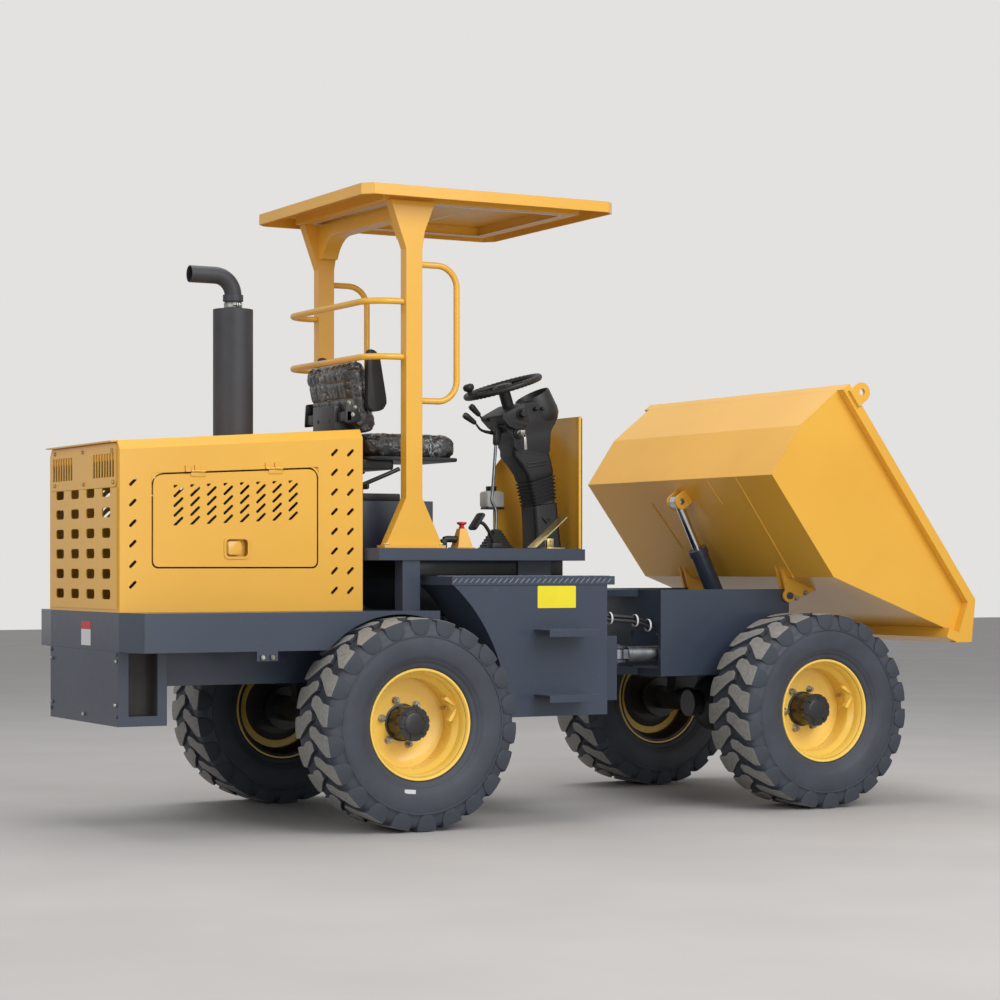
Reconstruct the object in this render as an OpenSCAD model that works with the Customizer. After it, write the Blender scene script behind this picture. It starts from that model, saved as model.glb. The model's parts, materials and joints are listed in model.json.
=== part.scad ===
// Compact articulated dump truck, skip tipped forward, in millimetres.
// +X points forward to the skip, +Y to the driver's left, +Z up, ground at z = 0.
// Places along X are written from the rear axle and moved by axle_x at the end.

/* [Wheels] */
// Distance between the axles
wheelbase = 1960; // [1860:10:2060]
// Distance between the tyre centres of an axle
track = 1330; // [1310:5:1400]
// Outer diameter of the tyres over the lugs
tyre_d = 845; // [820:1:860]
// Width of the tyres
tyre_w = 314; // [290:1:330]
// Height of the lugs
lug_h = 24; // [14:1:30]
// Lugs on each side of a tyre
lug_count = 18; // [14:1:20]
// Outer diameter of the rim flanges
rim_d = 445; // [430:1:455]
// Distance between the rim flanges, outside
rim_w = 252; // [236:1:264]
// Circle of the wheel bolts
wheel_bolt_pcd = 190; // [170:1:210]
// Wheel bolts on a rim
wheel_bolts = 6; // [5:1:8]
// Diameter of the hub that stands out of the rim
hub_d = 122; // [100:1:140]
// Diameter of the stub axle in the hub
stub_d = 60; // [50:1:70]

/* [Hood] */
// Length of the hood
hood_l = 1039; // [1000:5:1080]
// Width of the hood
hood_w = 828; // [800:2:860]
// Height of the hood's side at its rear end
hood_side_h = 632; // [600:2:660]
// Slope of the hood's top, rising forward, in degrees
hood_slope = 3.8; // [2:0.1:5]
// Height of the folded edge above the side
hood_fold_h = 36; // [24:1:50]
// Set-in of the folded edge
hood_fold_in = 28; // [16:1:40]
// Thickness of the hood's walls
hood_t = 6; // [4:1:10]
// Rear overhang of the hood's top
eave = 25; // [10:1:40]
// Length of a side door
door_l = 698; // [600:2:720]
// Height of a side door at its rear end
door_h = 358; // [300:2:380]
// Clearance round the doors
door_gap = 6; // [5:0.5:9]
// Rows of cooling slots at the hood's front end
slot_rows = 8; // [6:1:8]
// Spacing of the cooling slots
slot_pitch = 79.5; // [72:0.5:84]

/* [Rear frame] */
// Height of the deck's top above the ground
deck_z = 867; // [858:1:900]
// Height of the deck's band
deck_h = 152; // [120:1:170]
// Full width of the deck
deck_w = 1220; // [1120:5:1260]
// Width of the deck's rear face between its slanted corners
deck_rear_w = 810; // [700:5:900]
// Thickness of the deck's plates
deck_t = 10; // [8:1:14]
// Width over the frame rails
rail_w = 640; // [560:5:680]
// Articulation pin, forward of the rear axle
pivot_x = 1200; // [1160:5:1240]
// Diameter of the articulation pin
pivot_d = 60; // [50:1:70]
// Gap between the hinge plates of the two frames
pivot_gap = 8; // [5:1:14]

/* [Tanks] */
// Front end of the side tanks, forward of the rear axle
tank_x1 = 935; // [900:5:960]
// Outer side of the tanks, from the middle
tank_y = 660; // [600:5:690]
// Inner side of the tanks, from the middle
tank_yi = 362; // [345:1:400]
// Underside of the tanks
tank_z0 = 430; // [400:5:470]
// Top of the tanks
tank_z1 = 970; // [940:5:1000]
// Radius of the wheel arch cut into a tank
arch_r = 731; // [700:1:760]
// Depth of a step
step_d = 130; // [90:5:140]

/* [Platform and canopy] */
// Top of the platform
floor_z = 1121; // [1100:1:1160]
// Thickness of the platform
floor_t = 50; // [40:1:60]
// Width of the platform
floor_w = 940; // [900:10:1000]
// Front edge of the platform, forward of the rear axle
floor_x1 = 930; // [900:5:960]
// Side distance from the middle to a post
post_y = 426; // [410:1:440]
// Posts, forward of the rear axle
post_x = 143; // [130:1:160]
// Size of a post along X
post_l = 74; // [60:1:90]
// Size of a post along Y
post_w = 50; // [40:1:60]
// Top of the roof
roof_z = 2586; // [2500:2:2640]
// Rear edge of the roof, forward of the rear axle
roof_x0 = -128; // [-160:2:-100]
// Front edge of the roof, forward of the rear axle
roof_x1 = 1050; // [1000:5:1100]
// Width of the roof
roof_w = 1110; // [1000:5:1200]
// Height of the roof's skirt
roof_h = 45; // [30:1:60]
// Diameter of the hand rails
rail_d = 26; // [20:1:34]

/* [Skip] */
// Width of the skip over its side plates
skip_w = 1532; // [1400:2:1600]
// Length of the skip's flat bottom
skip_bottom = 548; // [500:2:600]
// Height from the bottom to the rim
skip_h = 502; // [460:2:540]
// Thickness of the skip's plates
skip_t = 8; // [6:1:12]
// Height of the rim's tube
rim_tube_h = 42; // [34:1:50]
// Width of the rim's tube
rim_tube_w = 40; // [30:1:50]
// Forward tip of the skip as it stands, in degrees
tip = 53.4; // [40:0.1:55]
// Skip hinge, forward of the rear axle
hinge_x = 2040; // [2020:2:2060]
// Height of the skip hinge
hinge_z = 915; // [905:1:925]
// Diameter of the skip's hinge pins
hinge_d = 30; // [24:1:36]
// Gap between the front frame and the lowered skip
rest_gap = 9; // [6:1:14]

/* [Front frame] */
// Rear end of the front frame, forward of the rear axle
front_x0 = 1370; // [1350:5:1400]
// Width over the front frame's side plates
front_w = 800; // [760:5:840]
// Underside of the front frame
front_z0 = 568; // [550:1:590]
// Top of the front frame
front_z1 = 945; // [940:1:950]
// Thickness of the frame plates
frame_t = 14; // [10:1:18]

/* [Cylinders] */
// Outer diameter of the tipping cylinder
tip_cyl_d = 80; // [70:1:90]
// Diameter of the tipping cylinder's rod
tip_rod_d = 40; // [32:1:45]
// Outer diameter of the steering cylinder
steer_cyl_d = 66; // [56:1:72]
// Diameter of the steering cylinder's rod
steer_rod_d = 34; // [26:1:38]
// Steering cylinder, to the side of the middle
steer_y = 330; // [320:1:340]

/* [Hidden] */
$fn = 48;

yellow = "goldenrod";
slate = "slategray";
black = [0.13, 0.13, 0.14];
steel = "silver";

e = 1;
run_fit = 0.06;

// Outline of the lowered skip in its own frame: u forward, v up, from the rear bottom corner.
skip_rear_fold = [-85, 248];
skip_rear_top = [-93, skip_h];
skip_front_top = [1062, skip_h];
skip_lip = [1150, 390];
lip_drop = [141, -130];
lip_dir = (skip_lip - [skip_bottom, 0]) / norm(skip_lip - [skip_bottom, 0]);
lip_out = [lip_dir[1], -lip_dir[0]];
clevis = [90, -45];
nose_u = 16;
lift_eye = skip_rear_top + [62, rim_tube_h + 26];

// Where the lowered skip's rear bottom corner is, seen from the hinge.
skip_u = -624;
skip_v = front_z1 + rest_gap - hinge_z;
function turn(p, a) = [p[0] * cos(a) + p[1] * sin(a), -p[0] * sin(a) + p[1] * cos(a)];
function on_skip(p) = turn([p[0] + skip_u, p[1] + skip_v], tip) + [hinge_x, hinge_z];

// Ends of the part along X, which set the place of the rear axle.
rear_end = -1112 - eave;
front_end = max(on_skip(skip_front_top + [nose_u, rim_tube_h])[0],
    on_skip(skip_front_top + [nose_u, rim_tube_h] + lip_drop)[0]);
axle_x = -(rear_end + front_end) / 2;

wheel_z = tyre_d / 2;
hood_x0 = -1112;
hood_x1 = hood_x0 + hood_l;
fold_z = deck_z + hood_side_h;
hood_top_w = hood_w - 2 * hood_fold_in;
door_x0 = hood_x0 + 137;
door_z0 = deck_z + 177;
door_slope = 3;
slot = [38, 12];
floor_x0 = -60;
inner_y = front_w / 2 - frame_t;
rail_z0 = 575;

module from_axle(x = 0, y = 0, z = 0) {
    translate([axle_x + x, y, z]) children();
}

// A plate drawn in X and Z and given its thickness along Y, from y to y + t.
module side_plate(y, t) {
    translate([0, y + t, 0]) rotate([90, 0, 0]) linear_extrude(t) children();
}

// A solid drawn in Y and Z and given its length along X, from x to x + l.
module cross_plate(x, l) {
    translate([x, 0, 0]) rotate([90, 0, 90]) linear_extrude(l) children();
}

module both_sides() {
    children();
    mirror([0, 1, 0]) children();
}

// A box between two corners.
module block(a, b) {
    translate(a) cube(b - a);
}

module rod_y(d, y0, y1) {
    translate([0, y0, 0]) rotate([-90, 0, 0]) cylinder(d = d, h = y1 - y0);
}

module round_rect(size, r) {
    translate([r, 0]) square([size[0] - 2 * r, size[1]]);
    translate([0, r]) square([size[0], size[1] - 2 * r]);
    for (x = [r, size[0] - r], y = [r, size[1] - r]) translate([x, y]) circle(r);
}

// A slanted slot round its middle.
module slant_slot(l = slot[0], w = slot[1], a = 45) {
    rotate(a) {
        square([l - w, w], center = true);
        for (s = [-1, 1]) translate([s * (l - w) / 2, 0]) circle(d = w);
    }
}

// A bent round bar through points, drawn as straight runs with balls at the bends.
module bar(points, d) {
    for (i = [0 : len(points) - 2]) {
        run = points[i + 1] - points[i];
        l = norm(run);
        translate(points[i])
            rotate([0, acos(run[2] / l), atan2(run[1], run[0])]) cylinder(d = d, h = l);
    }
    for (i = [1 : len(points) - 2]) translate(points[i]) sphere(d = d * 1.1);
}

// A U of round tube: out along X from the origin, across along Y and back.
module u_tube(reach, span, r, d) {
    for (y = [0, span]) translate([0, y, 0]) rotate([0, 90, 0]) cylinder(d = d, h = reach - r);
    translate([reach, r, 0]) rotate([-90, 0, 0]) cylinder(d = d, h = span - 2 * r);
    for (s = [0, 1]) translate([reach - r, s ? span - r : r, 0])
        rotate(s ? 0 : -90) rotate_extrude(angle = 90) translate([r, 0]) circle(d = d);
}

// A tyre lies round the Y axis. Its body has one flat for each pitch of lugs, and the lugs
// of the two sides alternate, narrow at the middle and wide at the shoulder.
module tyre() {
    r = tyre_d / 2;
    body_r = (r - lug_h) / cos(180 / lug_count);
    half = tyre_w / 2;
    seat_r = (rim_d / 2 - 14.7) / cos(180 / lug_count);
    pitch = 360 / lug_count;
    rotate([90, 0, 0]) rotate(pitch / 2 - 90) rotate_extrude($fn = lug_count) polygon([
        [seat_r, -rim_w / 2 + 18], [rim_d / 2 + 60, -half], [body_r, -half + 26],
        [body_r, half - 26], [rim_d / 2 + 60, half], [seat_r, rim_w / 2 - 18]
    ]);
    for (s = [-1, 1], i = [0 : lug_count - 1])
        rotate([0, (i + s / 4) * pitch, 0]) tyre_lug(s, r, 2 * PI * r / lug_count, half);
}

// A block of four low and four high corners: along the tread, across it, radius.
module wedge(low, high) {
    faces = [[0, 1, 2, 3], [7, 6, 5, 4], [0, 4, 5, 1], [1, 5, 6, 2], [2, 6, 7, 3], [3, 7, 4, 0]];
    hull() polyhedron(concat(low, high), faces);
}

module tyre_lug(s, r, pitch_l, half) {
    foot = r - lug_h - 12;
    top = r - 3.4;
    y_out = s * (half - 4);
    y_top = s * (half - 12);
    y_in = s * 6;
    wide = 0.21 * pitch_l;
    lead = 0.18 * pitch_l;
    wedge(
        [[-wide, y_out, foot - 10], [wide, y_out, foot - 10], [2.1 * lead, y_in, foot], [lead, y_in, foot]],
        [[4 - wide, y_top, top], [wide - 6, y_top, top], [2 * lead, y_in, top], [1.2 * lead, y_in, top]]
    );
}

module rim() {
    outer = rim_w / 2;
    r = rim_d / 2;
    rotate([90, 0, 0]) rotate_extrude() polygon([
        [r, outer], [r, outer - 7], [r - 15, outer - 12], [r - 15, 70], [r - 34, 48],
        [r - 34, -60], [r - 15, -84], [r - 15, -outer + 12], [r, -outer + 7], [r, -outer],
        [r - 23, -outer + 4], [r - 23, -86], [r - 42, -64],
        [r - 42, 46], [r - 23, 68], [r - 23, outer - 4]
    ]);
    rotate([90, 0, 0]) difference() {
        rotate_extrude() polygon([
            [stub_d / 2 + run_fit, -96], [stub_d / 2 + run_fit, 10], [hub_d / 2 - 8, 10],
            [hub_d / 2 - 8, -60], [hub_d / 2 + 10, -66], [hub_d / 2 + 50, -66],
            [r - 62, -50], [r - 38, -50], [r - 38, -62], [r - 64, -62],
            [hub_d / 2 + 48, -80], [hub_d / 2 + 8, -80], [hub_d / 2 + 8, -96]
        ]);
    }
    rotate([90, 0, 0]) {
        translate([0, 0, 10]) difference() {
            cylinder(d = hub_d, h = 22);
            for (i = [0 : 11]) rotate(i * 30) translate([hub_d / 2 + 3, 0, -e]) cylinder(d = 16, h = 30);
        }
        translate([0, 0, 30]) cylinder(d = hub_d - 44, h = 8);
        for (i = [0 : wheel_bolts - 1]) rotate(i * 360 / wheel_bolts + 30)
            translate([wheel_bolt_pcd / 2, 0, -68]) {
                cylinder(d = 24, h = 14, $fn = 6);
                cylinder(d = 14, h = 24);
            }
    }
}

module wheel_place(front, left) {
    from_axle(front ? wheelbase : 0, (left ? 1 : -1) * track / 2, wheel_z)
        mirror([0, left ? 1 : 0, 0]) children();
}

module axle() {
    reach = track / 2 - 110;
    rod_y(110, -reach, reach);
    sphere(d = 290);
    both_sides() {
        translate([0, reach - 40, 0]) rod_y(190, 0, 32);
        rod_y(stub_d, reach - 20, track / 2 + 4);
    }
}

module rear_axle() {
    color(black) from_axle(0, 0, wheel_z) {
        difference() {
            axle();
            translate([0, 0, -200]) cube([400, 300, 150], center = true);
        }
        translate([100, 0, 0]) rotate([0, 90, 0]) cylinder(d = 120, h = 90);
        both_sides() block([-60, 270, 40], [60, 320, rail_z0 - wheel_z]);
    }
}

module front_axle() {
    color(black) from_axle(wheelbase, 0, wheel_z) {
        difference() {
            axle();
            translate([0, 0, -200]) cube([400, 300, 150], center = true);
        }
        translate([-190, 0, 0]) rotate([0, 90, 0]) cylinder(d = 120, h = 90);
        both_sides() block([-60, 300, 40], [60, 372, front_z0 - wheel_z]);
    }
}

module deck_outline() {
    side = deck_w / 2;
    rear = deck_rear_w / 2;
    polygon([
        [hood_x0, -rear], [hood_x0 + 28, -side], [180, -side],
        [180, side], [hood_x0 + 28, side], [hood_x0, rear]
    ]);
}

module rear_chassis() {
    z0 = deck_z - deck_h;
    color(slate) from_axle() {
        difference() {
            translate([0, 0, z0]) linear_extrude(deck_h) deck_outline();
            translate([0, 0, z0 - e]) linear_extrude(deck_h - deck_t + e) polygon([
                [hood_x0 + deck_t, -deck_rear_w / 2 + 4], [hood_x0 + 36, -deck_w / 2 + deck_t],
                [170, -deck_w / 2 + deck_t], [170, deck_w / 2 - deck_t],
                [hood_x0 + 36, deck_w / 2 - deck_t], [hood_x0 + deck_t, deck_rear_w / 2 - 4]
            ]);
            both_sides() translate([0, track / 2 - tyre_w / 2 - 16, wheel_z])
                rod_y(tyre_d + 18, 0, 300);
            block([-900, -260, z0], [-100, 260, deck_z + e]);
        }
        both_sides() {
            block([hood_x0 + 200, rail_w / 2 - frame_t, rail_z0], [920, rail_w / 2, deck_z - deck_t + 2]);
            block([hood_x0 + 200, rail_w / 2 - 60, rail_z0], [920, rail_w / 2, rail_z0 + frame_t]);
            block([500, rail_w / 2 - frame_t, 800], [920, rail_w / 2, 900]);
        }
        block([900, -rail_w / 2, rail_z0], [920, rail_w / 2, 900]);
        block([174, -rail_w / 2 + 4, 665], [194, rail_w / 2 - 4, 725]);
        // Cross members under the engine.
        for (x = [-780, -320]) block([x, -rail_w / 2 + 4, 600], [x + 60, rail_w / 2 - 4, 640]);
        rear_hinge();
        // Bracket with two bolts under the right side.
        block([-622, -deck_w / 2, z0 - 38], [-533, -deck_w / 2 + 8, z0 + 4]);
        for (x = [-600, -559]) translate([x, 0, z0 - 18]) rod_y(18, -deck_w / 2 - 8, -deck_w / 2 + 2);
    }
}

module rear_hinge() {
    z0 = front_z0 + 32 + pivot_gap;
    z1 = front_z1 - 32 - pivot_gap;
    difference() {
        union() {
            translate([pivot_x, 0, z0]) cylinder(d = 130, h = z1 - z0);
            block([918, -30, z0], [pivot_x, 30, z1]);
            block([918, -220, z0 + 60], [1010, 220, z0 + 80]);
        }
        translate([pivot_x, 0, z0 - e]) cylinder(d = pivot_d + 2 * run_fit, h = 400);
    }
    // Arm that carries the steering cylinder on its pin.
    for (z = [630, 690]) {
        block([918, -steer_y - 30, z], [pivot_x - 30, -steer_y + 60, z + 12]);
        translate([pivot_x - 10, -steer_y, z]) cylinder(d = 76, h = 12);
    }
    translate([pivot_x - 10, -steer_y, 624]) cylinder(d = 30, h = 84);
    both_sides() block([910, rail_w / 2 - 40, 620], [1000, rail_w / 2, 720]);
}

module pivot_pin() {
    color(steel) from_axle(pivot_x, 0, front_z0 - 14) {
        cylinder(d = pivot_d, h = front_z1 - front_z0 + 20);
        translate([0, 0, front_z1 - front_z0 + 14]) cylinder(d = 96, h = 14);
    }
}

module rear_box() {
    z0 = 425;
    z1 = deck_z - deck_h;
    half = deck_rear_w / 2 - 3;
    t = 8;
    x0 = hood_x0 - 2;
    x1 = -913;
    color(slate) from_axle() {
        block([x0, -half, z0], [x0 + t, half, z1]);
        block([x0, -half, z0], [x1, half, z0 + t]);
        both_sides() side_plate(half - t, t) difference() {
            translate([x0, z0]) square([x1 - x0, z1 - z0]);
            translate([-1071, 464]) square([119, 244]);
        }
        for (y = [-half + 16, half - 16], z = [z0 + 38, z1 - 10])
            translate([x0 - 4, y, z]) rotate([0, 90, 0]) cylinder(d = 16, h = 6);
    }
}

// The hood's cross section, set in by t on every side.
module hood_section(t) {
    half = hood_w / 2 - t;
    top = hood_top_w / 2 - t * 0.7;
    polygon([
        [-half, -900], [-half, 0], [-top, hood_fold_h - t],
        [top, hood_fold_h - t], [half, 0], [half, -900]
    ]);
}

module hood_form(t, x0, x1, z0) {
    intersection() {
        translate([hood_x0, 0, fold_z]) rotate([0, -hood_slope, 0])
            cross_plate(-60, hood_l + 140) hood_section(t);
        block([x0, -hood_w, z0], [x1, hood_w, 2000]);
    }
}

module side_slots() {
    for (i = [0 : slot_rows - 1], x = [-199, -128]) translate([x, 949 + i * slot_pitch]) slant_slot();
    for (i = [0 : 5]) translate([-1058, 975 + i * slot_pitch]) slant_slot();
}

module door_outline(g) {
    rise = door_l * tan(door_slope);
    difference() {
        translate([door_x0 - g, door_z0 - g]) round_rect([door_l + 2 * g, door_h + rise + 2 * g], 26);
        translate([door_x0 - g, door_z0 + door_h + g]) rotate(door_slope) translate([-100, 0]) square([door_l + 300, 200]);
    }
}

module hood_shell() {
    color(yellow) from_axle() difference() {
        union() {
            difference() {
                hood_form(0, hood_x0, hood_x1, deck_z);
                hood_form(hood_t, hood_x0 + hood_t, hood_x1 - hood_t, deck_z - e);
            }
            // Top plate with its overhang at the rear.
            translate([hood_x0, 0, fold_z]) rotate([0, -hood_slope, 0])
                block([-eave, -hood_top_w / 2, hood_fold_h - hood_t], [10, hood_top_w / 2, hood_fold_h]);
            // Hinge leaves over the doors.
            both_sides() for (x = [hood_x0 + 300, hood_x0 + 640]) door_hinge(x, true);
        }
        side_plate(-hood_w, 2 * hood_w) side_slots();
        side_plate(-hood_w, 2 * hood_w) door_outline(door_gap);
        translate([-467, 0, fold_z - 20]) cylinder(d = 178, h = 120);
        block([hood_x0 - e, -hood_w / 2 + 40, deck_z + 30], [hood_x0 + hood_t + e, hood_w / 2 - 40, fold_z - 40]);
    }
}

// Height of the door's hinge line at x.
function hinge_line(x) = door_z0 + door_h + 8 + (x - door_x0) * tan(door_slope);

module door_hinge(x, fixed) {
    d = 12;
    translate([x, -hood_w / 2 - d / 2, hinge_line(x)]) rotate([0, 90 - door_slope, 0])
        for (z = fixed ? [-30, 10] : [-9]) translate([0, 0, z]) cylinder(d = d - 1, h = fixed ? 20 : 18);
    if (fixed) translate([x, -hood_w / 2 - d / 2, hinge_line(x)]) rotate([0, -door_slope, 0])
        for (z = [-30, 10]) block([z, 0, 0], [z + 20, d / 2 + 2, 24]);
    if (!fixed) translate([x, -hood_w / 2 - d / 2, hinge_line(x)]) rotate([0, -door_slope, 0]) {
        block([-9, 1, -34], [9, d / 2 - 0.5, 0]);
        block([-9, 1, -34], [9, d / 2 + 1, -16]);
    }
}

module door() {
    side_plate(-hood_w / 2, hood_t) difference() {
        door_outline(0);
        for (i = [0 : 7], j = [0 : 3])
            translate([-897 + i * 73 + (j % 2) * 18, 1216 + j * 46]) slant_slot(34, 11, 68);
        translate([-672, 1086]) square([90, 76]);
    }
    // Recessed latch.
    block([-676, -hood_w / 2 + 4, 1082], [-578, -hood_w / 2 + 14, 1166]);
    block([-660, -hood_w / 2 - 4, 1108], [-594, -hood_w / 2 + 6, 1130]);
    for (x = [hood_x0 + 300, hood_x0 + 640]) door_hinge(x, false);
}

module door_right() {
    color(yellow) from_axle() door();
}

module door_left() {
    color(yellow) from_axle() mirror([0, 1, 0]) door();
}

module hood_grille() {
    color(yellow) from_axle() cross_plate(hood_x0 - 5, 5) difference() {
        translate([-hood_w / 2 + 20, deck_z + 12]) square([hood_w - 40, 474]);
        for (i = [0 : 3], j = [0 : 5])
            translate([-323 + i * 183, 918 + j * 80]) round_rect([96, 38], 14);
    }
}

module vent_plate() {
    color(yellow) from_axle() cross_plate(hood_x0 - 5, 5) difference() {
        translate([-386, 1354]) round_rect([772, fold_z + 26 - 1354], 20);
        for (s = [-1, 1], i = [0 : 7])
            translate([s * 243 - 120 + i * 31, 1394]) square([20, 92]);
    }
}

module engine_block() {
    color(black) from_axle() block([-840, -230, 640], [-220, 230, 1330]);
}

module drive_line() {
    color(black) from_axle() {
        block([-220, -150, rail_z0], [60, 150, 850]);
        translate([50, 0, 615]) rotate([0, 90, 0]) cylinder(d = 50, h = 850);
        for (x = [70, 860]) translate([x, 0, 615]) rotate([0, 90, 0]) cylinder(d = 96, h = 40);
    }
}

module muffler() {
    bend = 80;
    z = 2244;
    tip_x = -192;
    color([0.27, 0.27, 0.29]) from_axle(-467, 0, 0) {
        translate([0, 0, 1330]) cylinder(d = 90, h = 240);
        translate([0, 0, 1560]) cylinder(d = 165, h = 546);
        translate([0, 0, 2100]) cylinder(d = 70, h = z - bend - 2100);
        translate([0, 0, 2140]) cylinder(d = 84, h = 26);
        translate([-bend, 0, z - bend]) rotate([90, 0, 0]) rotate_extrude(angle = 90)
            translate([bend, 0]) circle(d = 70);
        difference() {
            translate([-bend, 0, z]) rotate([0, -90, 0]) cylinder(d = 70, h = -tip_x - bend);
            translate([tip_x - e, 0, z]) rotate([0, 90, 0]) cylinder(d = 62, h = 90);
            translate([tip_x, -50, z + 36]) rotate([0, 30, 0]) block([-90, 0, -110], [0, 100, 0]);
        }
    }
}

module platform() {
    y = floor_w / 2;
    z0 = floor_z - floor_t;
    color(slate) from_axle() {
        difference() {
            translate([0, 0, z0]) linear_extrude(floor_t) floor_outline();
            translate([0, 0, z0 - e]) linear_extrude(floor_t - 8 + e) polygon([
                [floor_x0 + 8, -y + 80], [floor_x0 + 40, -y + 8], [floor_x1 - 8, -y + 8],
                [floor_x1 - 8, -150], [floor_x1 + 190, -150], [floor_x1 + 190, 150],
                [floor_x1 - 8, 150], [floor_x1 - 8, y - 8], [floor_x0 + 40, y - 8], [floor_x0 + 8, y - 80]
            ]);
        }
        both_sides() block([85, post_y - 36, deck_z], [165, post_y + 34, floor_z - 6]);
        both_sides() block([700, 300, 900], [860, 326, floor_z - 6]);
    }
}

module floor_outline() {
    y = floor_w / 2;
    polygon([
        [floor_x0, -y + 70], [floor_x0 + 35, -y], [floor_x1, -y], [floor_x1, -160],
        [floor_x1 + 200, -160], [floor_x1 + 200, 160], [floor_x1, 160], [floor_x1, y],
        [floor_x0 + 35, y], [floor_x0, y - 70]
    ]);
}

module side_tank() {
    arc_x = 214 + 52;
    color(slate) from_axle() {
        difference() {
            block([205, -tank_y, tank_z0], [tank_x1, -tank_yi, tank_z1]);
            translate([-266, 0, 419]) rod_y(2 * arch_r, -tank_y - e, -tank_yi + e);
        }
        block([tank_x1 - 4, -tank_y, tank_z0], [tank_x1 + 4, -tank_yi, tank_z1]);
        // Tread plate on top with its folded edges.
        block([205, -tank_y - 4, tank_z1], [tank_x1 + 38, -tank_yi, tank_z1 + 36]);
        for (z = [522, 789]) difference() {
            block([588, -tank_y - step_d, z - 30], [823, -tank_y + 2, z]);
            block([580, -tank_y - step_d + 5, z - 31], [830, -tank_y, z - 5]);
        }
        block([330, -tank_yi, 800], [900, -rail_w / 2, 840]);
    }
}

module tank_right() {
    side_tank();
}

module tank_left() {
    mirror([0, 1, 0]) side_tank();
}

// Post with its flared foot and its gussets, drawn in X and Z.
module post_shape() {
    half = post_l / 2;
    z1 = roof_z - roof_h;
    polygon([
        [-130, floor_z + 10], [130, floor_z + 10], [half, floor_z + 205], [half, z1 - 195],
        [half + 12, z1 - 121], [half + 60, z1], [-half - 70, z1], [-half, z1 - 195],
        [-half, floor_z + 205]
    ]);
}

module canopy_frame() {
    z1 = roof_z - roof_h;
    color(yellow) from_axle(post_x) {
        both_sides() {
            side_plate(post_y - post_w / 2, post_w) post_shape();
            block([-140, post_y - post_w / 2 - 12, floor_z], [140, post_y + post_w / 2 + 12, floor_z + 12]);
        }
        // Cross beam with rounded corners under the roof.
        difference() {
            block([-post_l / 2, -post_y, z1 - 150], [post_l / 2, post_y, z1]);
            block([-post_l, -post_y + 200, z1 - 200], [post_l, post_y - 200, z1 - 60]);
            for (s = [-1, 1]) translate([-post_l, s * (post_y - 200), z1 - 210])
                rotate([0, 90, 0]) cylinder(r = 150, h = 2 * post_l);
        }
    }
}

module roof_outline(g) {
    c = 40;
    y = roof_w / 2 - g;
    x0 = roof_x0 + g;
    x1 = roof_x1 - g;
    polygon([
        [x0, -y + c], [x0 + c, -y], [x1 - c, -y], [x1, -y + c],
        [x1, y - c], [x1 - c, y], [x0 + c, y], [x0, y - c]
    ]);
}

module canopy_roof() {
    z0 = roof_z - roof_h;
    color(yellow) from_axle() {
        difference() {
            translate([0, 0, z0]) linear_extrude(roof_h) roof_outline(0);
            translate([0, 0, z0 - e]) linear_extrude(roof_h - 6 + e) roof_outline(6);
        }
        // Stiffening frame under the roof.
        difference() {
            block([10, -430, z0], [940, 430, roof_z - 3]);
            block([60, -380, z0 - e], [890, 380, roof_z - 6]);
        }
    }
}

module hand_rails() {
    x = post_x + post_l / 2;
    xb = post_x - post_l / 2;
    color(yellow) from_axle() {
        both_sides() translate([x, -post_y, 1726]) rotate([90, 0, 0]) u_tube(172, 559, 90, rail_d);
        for (z = [1903, 2130]) translate([xb, post_y, z]) rotate(180) u_tube(150, 2 * post_y, 110, rail_d);
    }
}

module seat_base() {
    color(slate) from_axle() {
        block([60, -220, floor_z], [430, 220, 1345]);
        both_sides() block([120, 150, 1344], [420, 190, 1470]);
        block([60, -210, 1460], [500, 210, 1484]);
    }
}

module seat_cushion() {
    color(black) from_axle() side_plate(-215, 430) polygon([
        [90, 1484], [520, 1484], [540, 1510], [536, 1580], [510, 1600], [400, 1590], [90, 1590]
    ]);
}

module seat_back() {
    color(black) from_axle() side_plate(-215, 430) polygon([
        [60, 1590], [150, 1590], [92, 1880], [70, 1903], [8, 1903], [-8, 1880], [46, 1620]
    ]);
}

module armrests() {
    color(black) from_axle() both_sides() {
        block([44, 222, 1620], [104, 256, 1890]);
        block([50, 215, 1640], [100, 224, 1700]);
    }
}

module steering_column() {
    color(black) from_axle(1000, 0, floor_z) {
        difference() {
            rotate([0, -14, 0]) {
                block([-70, -72, -40], [66, 72, 250]);
                for (i = [0 : 4]) translate([0, 0, 249 + i * 26]) {
                    block([-66, -68, 0], [62, 68, 16]);
                    block([-56, -58, 0], [52, 58, 27]);
                }
                block([-60, -62, 378], [56, 62, 480]);
            }
            block([-200, -200, -100], [200, 200, 0]);
        }
    }
}

// Moves the steering wheel's own frame, its axis along Z, to its place.
module wheel_hand_place() {
    from_axle(812, 0, 1812) rotate([0, -18, 0]) children();
}

module dash_pod() {
    color(black) {
        difference() {
            union() {
                from_axle(1000, 0, floor_z) rotate([0, -14, 0]) {
                    block([-110, -100, 480], [70, 100, 620]);
                    translate([70, 0, 560]) rotate([0, 30, 0]) cylinder(d = 190, h = 110);
                }
                wheel_hand_place() translate([0, 0, -130]) cylinder(d = 66, h = 100);
            }
            wheel_hand_place() translate([0, 0, -78]) cylinder(d = 44 + 2 * run_fit, h = 90);
        }
    }
}

module steering_wheel() {
    color(black) wheel_hand_place() {
        rotate_extrude() translate([170, 0]) circle(d = 28);
        cylinder(d = 90, h = 24, center = true);
        for (a = [60, 180, 300]) rotate(a) translate([30, -14, -6]) cube([140, 28, 12]);
        translate([0, 0, -72]) cylinder(d = 44, h = 72);
        translate([-170, 0, 10]) cylinder(d = 46, h = 46);
    }
}

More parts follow.
